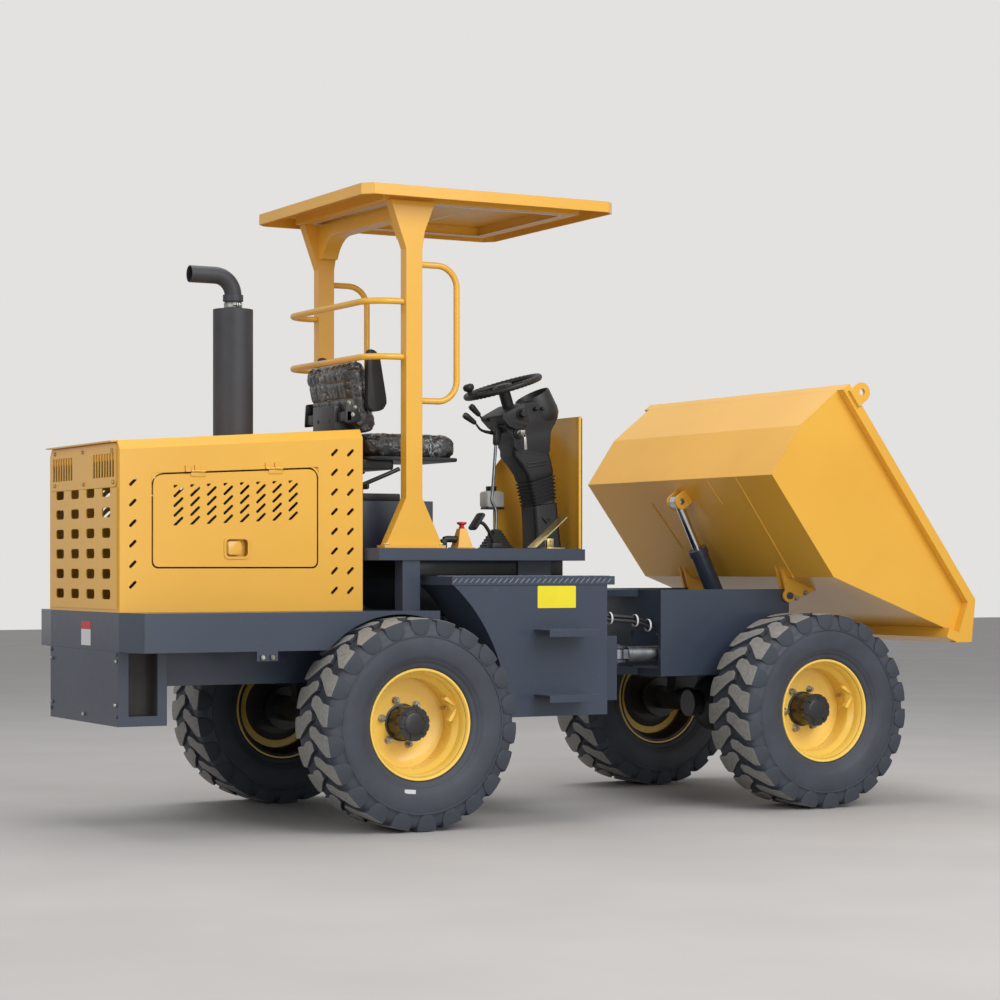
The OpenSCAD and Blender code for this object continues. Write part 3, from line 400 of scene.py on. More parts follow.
def add_box(shape, low, high, turn=None, about=(0, 0, 0), bevel=0.0, segments=2):
    """A box between two corners, bevelled, turned about a point."""
    made = bmesh.ops.create_cube(shape, size=1)["verts"]
    low, high = Vector(low), Vector(high)
    for v in made:
        v.co = Vector((low[k] + (v.co[k] + 0.5) * (high[k] - low[k]) for k in range(3)))
    if bevel:
        edges = {e for v in made for e in v.link_edges}
        made = bmesh.ops.bevel(shape, geom=list(edges), offset=bevel, segments=segments, affect="EDGES",
                               profile=0.5)["verts"]
    if turn:
        spin = Matrix.Translation(about) @ Euler([math.radians(a) for a in turn]).to_matrix().to_4x4()
        spin = spin @ Matrix.Translation(-Vector(about))
        bmesh.ops.transform(shape, matrix=spin, verts=list({v for v in made if v.is_valid}))
    return made


def rounded_outline(half_x, half_y, r, steps=5):
    """Points round a rectangle with rounded corners."""
    line = []
    for k, (sx, sy) in enumerate([(1, 1), (-1, 1), (-1, -1), (1, -1)]):
        for i in range(steps + 1):
            t = math.pi / 2 * (k + i / steps)
            line.append((sx * (half_x - r) + r * math.cos(t), sy * (half_y - r) + r * math.sin(t)))
    return line


def rounded(points, r, steps=4):
    """A closed outline with its corners rounded."""
    line = []
    for i, here in enumerate(points):
        p, a, b = Vector(here), Vector(points[i - 1]), Vector(points[(i + 1) % len(points)])
        start = p + (a - p).normalized() * min(r, (a - p).length * 0.45)
        end = p + (b - p).normalized() * min(r, (b - p).length * 0.45)
        for k in range(steps + 1):
            t = k / steps
            line.append((1 - t) ** 2 * start + 2 * t * (1 - t) * p + t * t * end)
    return line


def add_prism(shape, outline, low, high, axis="Y", bevel=0.0, segments=2):
    """A plate or bar of one outline between two heights along an axis, its rims bevelled."""
    def at(p, a):
        return Vector({"X": (a, p[0], p[1]), "Y": (p[0], a, p[1]), "Z": (p[0], p[1], a)}[axis])
    rows = add_loops(shape, [[at(p, low) for p in outline], [at(p, high) for p in outline]])
    if bevel:
        rims = []
        for row in rows:
            rims += [shape.edges.get((row[i - 1], row[i])) for i in range(len(row))]
        bmesh.ops.bevel(shape, geom=rims, offset=bevel, segments=segments, affect="EDGES", profile=0.5)
    return rows


def add_sheet(shape, outline, holes, low, high, axis="Y"):
    """A plate of one outline with holes through it, between two heights along an axis."""
    def at(p, a):
        return Vector({"X": (a, p[0], p[1]), "Y": (p[0], a, p[1]), "Z": (p[0], p[1], a)}[axis])
    edges = []
    for line in [outline] + holes:
        row = [shape.verts.new(at(p, low)) for p in line]
        edges += [shape.edges.new((row[i - 1], row[i])) for i in range(len(row))]
    filled = bmesh.ops.triangle_fill(shape, use_beauty=True, edges=edges)
    faces = [g for g in filled["geom"] if isinstance(g, bmesh.types.BMFace)]
    raised = bmesh.ops.extrude_face_region(shape, geom=faces)
    tops = [g for g in raised["geom"] if isinstance(g, bmesh.types.BMVert)]
    bmesh.ops.translate(shape, verts=tops, vec=at((0, 0), high - low))


def clipped(line, level, keep):
    """The part of a convex outline above (keep 1) or below (keep -1) a level of its second measure."""
    left = []
    for i, b in enumerate(line):
        a = line[i - 1]
        over_a, over_b = (a[1] - level) * keep, (b[1] - level) * keep
        if over_a * over_b < 0:
            t = over_a / (over_a - over_b)
            left.append((a[0] + (b[0] - a[0]) * t, level))
        if over_b >= 0:
            left.append(b)
    return left


# Copies on points: one tree for every bolt, nut, lug and tread bar.


def copies_tree():
    tree = bpy.data.node_groups.new("copies_on_points", "GeometryNodeTree")
    face = tree.interface
    for name, kind in (("Points", "NodeSocketGeometry"), ("Piece", "NodeSocketObject"),
                       ("Size", "NodeSocketFloat"), ("Finish", "NodeSocketMaterial")):
        face.new_socket(name, in_out="INPUT", socket_type=kind)
    face.new_socket("Copies", in_out="OUTPUT", socket_type="NodeSocketGeometry")
    entry = add(tree, "NodeGroupInput")
    turn = add(tree, "GeometryNodeInputNamedAttribute", {"Name": "turn"}, data_type="FLOAT_VECTOR")
    piece = add(tree, "GeometryNodeObjectInfo", {"Object": entry.outputs["Piece"]}, transform_space="ORIGINAL")
    spread = add(tree, "GeometryNodeInstanceOnPoints", {
        "Points": entry.outputs["Points"], "Instance": piece.outputs["Geometry"],
        "Rotation": turn.outputs["Attribute"], "Scale": entry.outputs["Size"]})
    real = add(tree, "GeometryNodeRealizeInstances", {"Geometry": spread.outputs["Instances"]})
    coated = add(tree, "GeometryNodeSetMaterial", {"Geometry": real.outputs["Geometry"],
                                                   "Material": entry.outputs["Finish"]})
    add(tree, "NodeGroupOutput", {"Copies": coated.outputs["Geometry"]})
    return tree


COPIES = copies_tree()


def pattern_piece(shape, smooth=math.radians(35)):
    """A bmesh in mm as a hidden object in metres, to be copied."""
    bmesh.ops.remove_doubles(shape, verts=shape.verts, dist=0.01)
    bmesh.ops.recalc_face_normals(shape, faces=shape.faces)
    for v in shape.verts:
        v.co = v.co / 1000
    for f in shape.faces:
        f.smooth = True
    for e in shape.edges:
        if len(e.link_faces) == 2 and e.calc_face_angle(0) > smooth:
            e.smooth = False
    mesh = bpy.data.meshes.new("pattern")
    shape.to_mesh(mesh)
    shape.free()
    return bpy.data.objects.new("pattern", mesh)


def copies(name, pattern, spots, material, body, size=1.0):
    """Copies of a pattern at (place, turn) spots, as one plain mesh."""
    dots = bpy.data.meshes.new(name + "_dots")
    dots.from_pydata([p for p, _ in spots], [], [])
    turns = dots.attributes.new("turn", "FLOAT_VECTOR", "POINT")
    turns.data.foreach_set("vector", np.array([t for _, t in spots], np.float32).ravel())
    holder = bpy.data.objects.new(name + "_dots", dots)
    bpy.context.scene.collection.objects.link(holder)
    mod = holder.modifiers.new("copies", "NODES")
    mod.node_group = COPIES
    keys = {s.name: s.identifier for s in COPIES.interface.items_tree if s.in_out == "INPUT"}
    mod[keys["Piece"]] = pattern
    mod[keys["Size"]] = size
    mod[keys["Finish"]] = material
    holder.update_tag()
    seen = bpy.context.evaluated_depsgraph_get()
    seen.update()
    mesh = bpy.data.meshes.new_from_object(holder.evaluated_get(seen))
    mesh.name = name
    made = bpy.data.objects.new(name, mesh)
    bpy.data.objects.remove(holder)
    bpy.context.scene.collection.objects.link(made)
    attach(made, body)
    return made


def hex_bolt(across=19, head=8, washer=26):
    """A hexagon head with its washer, standing up from z = 0."""
    shape = bmesh.new()
    add_lathe(shape, [(1, 0), (washer / 2, 0), (washer / 2, 2.5), (1, 2.5)], (0, 0, 0), "Z", 20)
    r = across / math.sqrt(3)
    head_loops = [[(q * math.cos(math.pi * i / 3), q * math.sin(math.pi * i / 3), z) for i in range(6)]
                  for q, z in ((r, 2), (r, head), (r * 0.86, head + 2))]
    add_loops(shape, [[Vector(p) for p in loop] for loop in head_loops])
    return pattern_piece(shape)


BOLT = hex_bolt()
SMALL_BOLT = hex_bolt(12, 5, 17)
NUT = hex_bolt(24, 16, 32)

# Turns that point a pattern's Z to a side of the truck.
OUT_RIGHT = (math.pi / 2, 0, 0)
OUT_LEFT = (-math.pi / 2, 0, 0)
OUT_REAR = (0, -math.pi / 2, 0)
OUT_FRONT = (0, math.pi / 2, 0)
UP = (0, 0, 0)

# Tyres: a carcass of revolution and two rows of hooked lugs with buttresses down the shoulder.
WHEELS = {
    "rr": (0, -HALF_TRACK, -1, "wheel_rr"), "rl": (0, HALF_TRACK, 1, "wheel_rl"),
    "fr": (WHEELBASE, -HALF_TRACK, -1, "wheel_fr"), "fl": (WHEELBASE, HALF_TRACK, 1, "wheel_fl"),
}
LUGS = 22
CARCASS = [
    (208.5, 102), (209, 112), (214, 118), (223.5, 120), (226, 126), (231, 130.5), (238, 132), (246, 134),
    (249, 138), (256, 142.5), (259, 143), (261, 145.5), (276, 151), (296, 154.5), (316, 156), (334, 155.5),
    (346, 153.5), (348, 157), (353, 157), (355.5, 153), (372, 150.5), (390, 147), (402, 141), (409, 130),
    (411, 112), (407, 80), (404, 55), (403, 0),
]


def lug_pattern(side):
    """One lug on top of a wheel at the origin: broad shoulder, kink, nose past the middle, rounded buttress."""
    r = 422.5
    plan = [(-45, 146), (-26, 149), (-2, 150), (22, 149), (38, 146), (43, 122), (46, 88), (68, 50), (74, 10),
            (62, -8), (34, -8), (16, 26), (-10, 62), (-30, 90), (-45, 112)]
    rings = ((-26, -64, 3.0, 0.4), (-26, -58, 4.0, 0.66), (-25, -44, 5.0, 0.9), (-22, -25, 4.5, 1.0),
             (-7, -7, 1.6, 1.0), (-1.5, -1.5, 0.6, 1.0), (0, 0, -2.0, 1.0))
    shape = bmesh.new()
    loops = []
    mid = Vector((12, 78))
    for low, shoulder, grow, narrow in rings:
        loop = []
        for along, across in plan:
            away = (Vector((along, across)) - mid).normalized() * grow
            a, c = along + away.x, across + away.y
            level = r + low - 4.0 * (c / 150) ** 2
            if across > 140:
                level = r + shoulder - 4.0
                a = -2 + (a + 2) * narrow
                c = across + min(grow, 1.6) + (7.5 if shoulder < -50 else -0.12 * shoulder)
            t = (a - 12) / r
            loop.append(Vector((level * math.sin(t), side * c, level * math.cos(t))))
        loops.append(loop)
    rows = add_loops(shape, loops)
    ground = shape.faces.layers.float.new("tread")
    for face in shape.faces:
        face[ground] = 1.0 if all(v in rows[-1] or v in rows[-2] for v in face.verts) else 0.0
    return pattern_piece(shape, math.radians(30))


LUG = {s: lug_pattern(s) for s in (-1, 1)}
for key, (wheel_x, wheel_y, outside, body) in WHEELS.items():
    carcass = bmesh.new()
    outline = [(r, y) for r, y in CARCASS] + [(r, -y) for r, y in CARCASS[-2::-1]]
    add_lathe(carcass, outline, (wheel_x, wheel_y, WHEEL_Z), "Y", 120, closed=True)
    tyre = finished("tyre_carcass_" + key, carcass, tyre_rubber, body, math.radians(55))
    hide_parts("tyre_" + key)
    for s in (-1, 1):
        spots = [(place(wheel_x, wheel_y, WHEEL_Z), (0, (i + (s + 1) / 4) * 2 * math.pi / LUGS, 0))
                 for i in range(LUGS)]
        copies("tyre_lugs_%s_%s" % (key, "outer" if s == outside else "inner"), LUG[s], spots, lug_rubber,
               body)

# Rims: a dished disc in a well-base rim, a black hub drum with a notched cap, six nuts and the valve's guard.
RIM = [
    (222.5, 119), (222.5, 123), (221, 125.5), (217.5, 126), (213.5, 124.5), (210, 118), (205, 108), (201, 98),
    (199.5, 90), (199.5, 70), (196, 64), (184, 50), (181, 44), (180.5, 36), (180.5, -41), (180.5, -62), (184, -68), (196, -82),
    (199.5, -88), (199.5, -116), (203, -122), (216, -126), (222.5, -126), (222.5, -119), (207.5, -114),
    (207.5, -84), (188.5, -60), (188.5, 48), (207.5, 70), (207.5, 114),
]
DISC_Y = -42
HUB_Y = 45
DISC = [
    (60, 0), (118, 0), (126, 1), (150, 8), (160, 11), (178, 12), (181, 14), (184, 8), (181, 0), (178, -2),
    (158, -2), (148, -4), (124, -11), (116, -12), (60, -12),
]
NUT_TURN = {"rr": -18, "rl": 11, "fr": 24, "fl": 3}
for key, (wheel_x, wheel_y, outside, body) in WHEELS.items():
    middle = (wheel_x, wheel_y, WHEEL_Z)
    rim = bmesh.new()
    for line, level in ((RIM, 0), (DISC, DISC_Y)):
        add_lathe(rim, [(r, (a + level) * outside) for r, a in line], middle, "Y", 96, closed=True)
    rim = finished("rim_shell_" + key, rim, rim_enamel, body, math.radians(30))
    # The faces on each rim's inner side, behind the disc, take the dark enamel: painted shade.
    rim.data.materials.append(dial_black_and_painted_shade)
    for face in rim.data.polygons:
        off = (face.center - place(*middle)) * 1000
        if off.y * outside < DISC_Y - 5 and math.hypot(off.x, off.z) < 216 and face.normal.y * outside < 0.5:
            face.material_index = 1
    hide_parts("rim_" + key)
    hub = bmesh.new()
    add_lathe(hub, [(r, a * outside) for r, a in ((1, HUB_Y), (62, HUB_Y), (66, HUB_Y - 2), (68, HUB_Y - 6),
                                                  (68, DISC_Y + 4), (76, DISC_Y + 2), (76, DISC_Y - 0.5),
                                                  (1, DISC_Y - 0.5))], middle, "Y", 64)
    notched = []
    for i in range(144):
        t = 2 * math.pi * i / 144
        r = 70 - 4.5 * (math.cos(12 * t) > 0.55)
        notched.append((r * math.sin(t) + wheel_x, r * math.cos(t) + WHEEL_Z))
    add_prism(hub, notched, wheel_y + outside * HUB_Y, wheel_y + outside * (HUB_Y + 21), "Y", 1.2, 2)
    add_lathe(hub, [(r, a * outside) for r, a in ((1, 28), (38, 28), (43, 26), (46, 22), (52, 21), (52, 18), (1, 18))],
              (wheel_x, wheel_y + outside * HUB_Y, WHEEL_Z), "Y", 48)
    for i in range(6):
        t = math.pi / 3 * i + math.pi / 12
        c, d = math.sin(t), math.cos(t)
        low, high = sorted((wheel_y + outside * (HUB_Y + 20), wheel_y + outside * (HUB_Y + 26)))
        add_prism(hub, [(wheel_x + c * 30 + d * 3, WHEEL_Z + d * 30 - c * 3), (wheel_x + c * 60 + d * 3, WHEEL_Z + d * 60 - c * 3),
                        (wheel_x + c * 60 - d * 3, WHEEL_Z + d * 60 + c * 3), (wheel_x + c * 30 - d * 3, WHEEL_Z + d * 30 + c * 3)],
                  low, high, "Y", 0.8)
    finished("hub_drum_" + key, hub, black_enamel, body)
    studs = bmesh.new()
    spots = []
    for i in range(6):
        t = math.radians(60 * i + NUT_TURN[key])
        spot = (wheel_x + 93 * math.sin(t), wheel_y + outside * DISC_Y, WHEEL_Z + 93 * math.cos(t))
        spots.append((place(*spot), OUT_RIGHT if outside < 0 else OUT_LEFT))
        add_lathe(studs, [(1, 0), (8, 0), (8, outside * 27), (6.5, outside * 29), (1, outside * 29)], spot, "Y", 16)
    copies("wheel_nuts_" + key, NUT, spots, zinc_steel, body)
    finished("wheel_studs_" + key, studs, zinc_steel, body)
    guard = bmesh.new()
    for end in (-1, 1):
        y0 = wheel_y + outside * 52
        add_prism(guard, rounded([(wheel_x + 150, 44 * end + WHEEL_Z + 20), (wheel_x + 192, 4 * end + WHEEL_Z + 20),
                                  (wheel_x + 198, 14 * end + WHEEL_Z + 20), (wheel_x + 164, 52 * end + WHEEL_Z + 20)],
                                 4), y0 - 16, y0 + 16, "Y", 1.5)
    lean = Matrix.Rotation(math.radians(-12), 3, "Y")
    bmesh.ops.rotate(guard, verts=guard.verts, cent=middle, matrix=lean)
    finished("valve_guard_" + key, guard, rim_enamel, body)
    valve = bmesh.new()
    add_lathe(valve, [(1, 0), (5, 0), (5, 26), (7, 28), (7, 40), (5.5, 42), (1, 42)],
              (wheel_x + 172, wheel_y + outside * 30, WHEEL_Z + 20), "Y", 14)
    bmesh.ops.rotate(valve, verts=valve.verts, cent=middle, matrix=lean)
    finished("tyre_valve_" + key, valve, brass_zinc, body)

# Seat
# Seat


def puffed(name, shape, fill_out, voxel=6.0):
    """Makes a pad of a bmesh in mm: remeshed, then blown up a little with cloth."""
    bmesh.ops.remove_doubles(shape, verts=shape.verts, dist=0.01)
    bmesh.ops.recalc_face_normals(shape, faces=shape.faces)
    for v in shape.verts:
        v.co = place(*v.co)
    mesh = bpy.data.meshes.new(name)
    shape.to_mesh(mesh)
    shape.free()
    pad = bpy.data.objects.new(name, mesh)
    bpy.context.scene.collection.objects.link(pad)
    even = pad.modifiers.new("even", "REMESH")
    even.mode = "VOXEL"
    even.voxel_size = voxel / 1000
    seen = bpy.context.evaluated_depsgraph_get()
    pad.data = bpy.data.meshes.new_from_object(pad.evaluated_get(seen))
    pad.modifiers.clear()
    start = np.empty(len(pad.data.vertices) * 3)
    pad.data.vertices.foreach_get("co", start)
    cloth = pad.modifiers.new("blown", "CLOTH")
    cloth.settings.use_pressure = True
    cloth.settings.uniform_pressure_force = 4
    cloth.settings.effector_weights.gravity = 0
    scene = bpy.context.scene
    for step in range(1, 16):
        scene.frame_set(step)
    seen = bpy.context.evaluated_depsgraph_get()
    pad.data = bpy.data.meshes.new_from_object(pad.evaluated_get(seen))
    pad.modifiers.clear()
    scene.frame_set(1)
    end = np.empty_like(start)
    pad.data.vertices.foreach_get("co", end)
    move = (end - start).reshape(-1, 3)
    far = np.linalg.norm(move, axis=1, keepdims=True)
    move *= np.minimum(1, fill_out / 1000 / np.maximum(far, 1e-9))
    pad.data.vertices.foreach_set("co", (start.reshape(-1, 3) + move).ravel())
    return pad


def film_creases(pad, pull, depth=0.0035):
    """Moves the points in and out along long sharp folds that run the way the film is pulled."""
    for v in pad.data.vertices:
        spot = Vector(v.co)
        along = spot.dot(pull)
        flat = spot - pull * along
        seat = flat * 26 + pull * along * 7
        fold = noise.ridged_multi_fractal(seat, 0.9, 2.1, 4, 1.0, 2.0) - 1.0
        v.co = spot + v.normal * depth * max(-1.0, min(1.2, fold))
    pad.data.update()


def done_pad(pad, node):
    for f in pad.data.polygons:
        f.use_smooth = True
    pad.data.materials.clear()
    pad.data.materials.append(seat_vinyl)
    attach(pad, "rear_frame")
    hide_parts(node)


SEAT = Vector((-48, 0, 6))


def at_seat(shape):
    """Moves a piece made round the CAD seat to where the photograph holds the seat."""
    bmesh.ops.translate(shape, verts=shape.verts, vec=SEAT)
    return shape


cushion = bmesh.new()
add_prism(cushion, rounded([(96, -207), (530, -200), (530, 200), (96, 207)], 60, 6), 1500, 1586, "Z", 24, 3)
cushion = puffed("seat_cushion_pad", at_seat(cushion), 11)
film_creases(cushion, Vector((0.5, 0.86, 0.1)).normalized())
done_pad(cushion, "seat_cushion")

back = bmesh.new()
back_line = rounded([(62, 1596), (140, 1600), (128, 1690), (88, 1876), (58, 1898), (20, 1896), (0, 1868), (36, 1680)],
                    26, 4)
add_prism(back, back_line, -206, 206, "Y", 26, 3)
back = puffed("seat_back_pad", at_seat(back), 9)
for v in back.data.vertices:
    spot = (Vector(v.co) - place(0, 0, 0)) * 1000 - SEAT
    if v.normal.x < -0.3:
        rows = min(abs(spot.z - z - 0.25 * (spot.x - 40)) for z in (1668, 1742, 1816))
        rows = min(rows, min(abs(spot.y - y) for y in (-104, 0, 104)))
        v.co.x += 0.006 * max(0.0, 1 - rows / 9)
film_creases(back, Vector((0.2, 0.3, 0.93)).normalized(), 0.0028)
done_pad(back, "seat_back")

pan = bmesh.new()
add_prism(pan, rounded([(92, -209), (536, -202), (536, 202), (92, 209)], 44, 5), 1484.5, 1500, "Z", 4)
add_prism(pan, rounded([(44, -188), (236, -188), (236, 188), (44, 188)], 30, 5), 1446, 1486, "Z", 8, 3)
finished("seat_pan", at_seat(pan), black_abs, "rear_frame")
boards = bmesh.new()
for side in (-1, 1):
    lean = [(28, 1694), (74, 1686), (113, 1706), (115, 1738), (83, 1918), (59, 1944), (28, 1946)]
    add_prism(boards, rounded(lean, 20, 5), side * 224, side * 254, "Y", 9, 3)
    add_lathe(boards, [(1, -14), (17, -14), (17, 14), (1, 14)], (55, side * 224, 1716), "Y", 20)
arm_boards = finished("armrest_boards", boards, black_abs, "rear_frame")
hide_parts("armrests")

# Steel bracket behind the back, with its slots and screws, and the seat's struts.
bracket = bmesh.new()
add_box(bracket, (-58, -107, 1600), (44, 107, 1720), bevel=5)
add_box(bracket, (-50, -90, 1470), (-10, 90, 1602), bevel=3)
for y in (-206, 199):
    add_prism(bracket, rounded([(-52, 1640), (32, 1650), (36, 1690), (4, 1744), (-46, 1738)], 8, 3), y, y + 7, "Y", 1)
    add_box(bracket, (-44, min(y, -y / abs(y) * -110), 1650), (-24, max(y, -y / abs(y) * -110), 1690), bevel=2)
finished("seat_back_bracket", bracket, black_enamel, "rear_frame")
# Dark discs in the bracket's two slots: painted shade in the holes.
slots = bmesh.new()
for y in (-53, 53):
    add_lathe(slots, [(1, -59.5), (9, -59.5), (9, -57), (1, -57)], (0, y, 1656), "X", 20)
finished("seat_bracket_holes", slots, dial_black_and_painted_shade, "rear_frame")
copies("seat_bracket_screws", SMALL_BOLT, [(place(x, -206, z), OUT_RIGHT) for x, z in ((-36, 1724), (-8, 1706), (-19, 1676))],
       zinc_steel, "rear_frame")
frame_bars = bmesh.new()
for side in (-1, 1):
    y = side * 170
    add_tube(frame_bars, [(60, y, 1368), (120, y, 1392), (200, y, 1424), (262, y, 1450)], 9, 10, 4)
    add_tube(frame_bars, [(112, y, 1390), (114, y, 1378), (114, y, 1368)], 8, 10, 3)
add_tube(frame_bars, [(114, -170, 1370), (114, 0, 1370), (114, 170, 1370)], 8, 10, 2)
for y in (-170, 170):
    add_box(frame_bars, (66, y - 12, 1342), (90, y + 12, 1384), bevel=3)
finished("seat_struts", at_seat(frame_bars), black_enamel, "rear_frame")
lid = bmesh.new()
add_prism(lid, rounded([(-2, -222), (196, -222), (196, 222), (-2, 222)], 10, 3), 1318, 1350, "Z", 6, 2)
finished("seat_box_lid", lid, black_rubber, "rear_frame")
box = bmesh.new()
add_prism(box, rounded([(2, -218), (353, -218), (353, 218), (2, 218)], 12, 4), 1120.5, 1320, "Z", 1.5)
box = finished("seat_box", box, grey_enamel, "rear_frame")
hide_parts("seat_base")

# Steering column: lower shroud, eight pleats, neck.


def column_ring(x, z, half_x, half_y, r=22, lean=-0.14):
    """One level of the leaning column."""
    return [Vector((x + px, py, z + px * lean * -1)) for px, py in rounded_outline(half_x, half_y, r, 5)]


rings = [column_ring(1003, 1121.5, 66, 72), column_ring(1001, 1150, 64, 71), column_ring(995, 1235, 61, 70),
         column_ring(988, 1318, 60, 69), column_ring(987, 1322, 54, 63)]
for i in range(7):
    z = 1326 + i * 15.5
    x = 986 - i * 2.6
    rings += [column_ring(x, z, 55 + i, 62, lean=-0.3), column_ring(x - 0.6, z + 4, 61 + i * 1.3, 70, lean=-0.3),
              column_ring(x - 1.4, z + 9, 61.5 + i * 1.3, 70.5, lean=-0.3), column_ring(x - 2, z + 12, 56 + i, 62, lean=-0.3)]
rings += [column_ring(964, 1444, 66, 68, lean=-0.3), column_ring(960, 1456, 69, 70), column_ring(938, 1500, 80, 71),
          column_ring(914, 1540, 91, 72), column_ring(912, 1600, 90, 72)]
sleeve = bmesh.new()
add_loops(sleeve, rings)
sleeve = finished("steering_column_sleeve", sleeve, black_rubber, "rear_frame", math.radians(32))
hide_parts("steering_column")
emboss = bmesh.new()
add_prism(emboss, rounded([(962, 1262), (1010, 1256), (985, 1232)], 6, 3), -76.5, -68, "Y", 2, 2)
for z in (1486, 1500):
    add_box(emboss, (890, -77, z), (990, -68, z + 5), turn=(0, -8, 0), about=(940, -75, z), bevel=2)
finished("column_ribs", emboss, black_abs, "rear_frame")

# Dash pod: a bevelled body under a round cowl that faces the driver.
pod = bmesh.new()
body_line = [(776, 1702), (782, 1641), (819, 1608), (826, 1548), (1002, 1530), (1006, 1640), (1040, 1690),
             (1000, 1772), (886, 1762), (848, 1746)]
add_prism(pod, rounded(body_line, 18, 5), -74, 74, "Y", 10, 3)
ridge = [(741, 1698), (848, 1756), (876, 1744), (886, 1676), (864, 1650), (798, 1643)]
add_prism(pod, rounded(ridge, 12, 4), -98, 98, "Y", 8, 3)
pod = finished("dash_pod_body", pod, black_abs, "rear_frame")
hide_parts("dash_pod")
COWL = Matrix.Translation((983, 0, 1739)) @ Matrix.Rotation(math.radians(-28), 4, "Y")


def on_cowl(shape, start=0):
    shape.verts.ensure_lookup_table()
    bmesh.ops.transform(shape, matrix=COWL, verts=shape.verts[start:])


DIALS = ((-26, -30, 22), (-26, 30, 22), (30, 0, 27))
cowl = bmesh.new()
add_lathe(cowl, [(1, -94), (20, -93), (42, -86), (66, -68), (80, -45), (84, -20), (83, 0), (82, 62), (79.5, 68), (75, 68),
                 (73, 62), (71, 34), (2, 34)],
          (0, 0, 0), "Z", 56)
on_cowl(cowl)
finished("dash_cowl", cowl, black_abs, "rear_frame")
dials = bmesh.new()
for x, y, r in DIALS:
    add_lathe(dials, [(r, 34), (r + 4, 36), (r + 4, 41), (r, 42), (r - 3, 38), (r - 3, 36)], (x, y, 0), "Z", 30, closed=True)
on_cowl(dials)
finished("dial_rims", dials, chromed_rod, "rear_frame")
faces = bmesh.new()
for x, y, r in DIALS:
    add_lathe(faces, [(1, 36), (r - 2, 36), (r - 2, 37), (1, 37)], (x, y, 0), "Z", 30)
on_cowl(faces)
finished("dial_faces", faces, dial_black_and_painted_shade, "rear_frame")
marks = bmesh.new()
for x, y, r in DIALS:
    for i in range(9):
        t = math.radians(-120 + 30 * i)
        add_box(marks, (x - 0.8, y + r - 9, 37), (x + 0.8, y + r - 4, 37.8), turn=(0, 0, math.degrees(t)), about=(x, y, 37))
    add_box(marks, (x - 1, y - 4, 37.6), (x + 1, y + r - 9, 38.6), turn=(0, 0, -50), about=(x, y, 37))
on_cowl(marks)
finished("dial_marks", marks, label_white, "rear_frame", smooth=None)
knobs = bmesh.new()
add_lathe(knobs, [(1, -26), (12, -26), (16, -22), (17, -12), (18, -2), (18, 4), (1, 4)], (844, -98, 1710), "Y", 26)
add_lathe(knobs, [(1, -5), (22, -5), (24, -2), (24, 4), (1, 4)], (844, -98, 1710), "Y", 30)
add_lathe(knobs, [(1, -6), (22, -6), (25, -3), (25, 4), (1, 4)], (842, -76, 1627), "Y", 30)
finished("pod_knobs", knobs, black_rubber, "rear_frame")
lamp = bmesh.new()
for x, z in ((926, 1735), (958, 1737)):
    add_lathe(lamp, [(1, -9), (5, -8), (8, -4), (9, 0), (9, 8), (1, 8)], (x, -84, z), "Y", 20)
finished("warning_lamps", lamp, black_rubber, "rear_frame")
key = bmesh.new()
add_lathe(key, [(1, -16), (12, -16), (15, -13), (15, 2), (1, 2)], (858, -104, 1632), "Y", 28)
add_prism(key, rounded([(848, 1622), (868, 1624), (870, 1644), (846, 1642)], 6, 3), -142, -138, "Y", 0.8)
add_prism(key, rounded([(856, 1626), (860, 1626), (860, 1640), (856, 1640)], 1, 1), -140, -118, "Y", 0.4)
add_lathe(key, [(7, -1), (8.6, 0), (7, 1), (5.4, 0)], (866, -140, 1618), "Y", 18, closed=True)
add_prism(key, rounded([(862, 1614), (874, 1612), (878, 1560), (866, 1556)], 4, 3), -143, -140, "Y", 0.6)
bmesh.ops.translate(key, verts=key.verts, vec=(-16, 24, -5))
finished("ignition_key", key, zinc_steel, "rear_frame")

# Steering wheel: grip ring with finger swells, three spokes, cap, spinner.
HAND = Matrix.Translation((805.8, 0, 1831)) @ Matrix.Rotation(math.radians(-18), 4, "Y")
hand = bmesh.new()
loops = []
for i in range(96):
    t = 2 * math.pi * i / 96
    grip = 14 + 0.9 * math.cos(t * 48)
    ring = []
    for k in range(14):
        a = 2 * math.pi * k / 14
        r = 164 + grip * math.cos(a)
        ring.append(Vector((r * math.cos(t), r * math.sin(t), grip * math.sin(a))))
    loops.append(ring)
add_loops(hand, loops, closed="ring")
for spoke in (60, 180, 300):
    t = math.radians(spoke)
    out = Vector((math.cos(t), math.sin(t), 0))
    side = Vector((-math.sin(t), math.cos(t), 0))
    levels = []
    for d, w, h, drop in ((26, 21, 9, -10), (60, 17, 7, -10), (110, 15, 6, -5), (156, 18, 6, 0)):
        levels.append([out * d + side * py + Vector((0, 0, pz + drop)) for py, pz in rounded_outline(w, h, 5, 3)])
    add_loops(hand, levels)
add_lathe(hand, [(1, 12), (30, 12), (40, 8), (45, 0), (46, -10), (40, -14), (30, -16), (26, -24), (26, -115), (1, -115)],
          (0, 0, 0), "Z", 40)
add_lathe(hand, [(1, 60), (14, 60), (23, 54), (25, 44), (22, 34), (13, 28), (10, 22), (10, 6), (1, 6)],
          (-164, 0, 0), "Z", 28)
bmesh.ops.transform(hand, matrix=HAND, verts=hand.verts)
hand = finished("steering_hand_wheel", hand, black_abs, "steering_wheel")
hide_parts("steering_wheel")

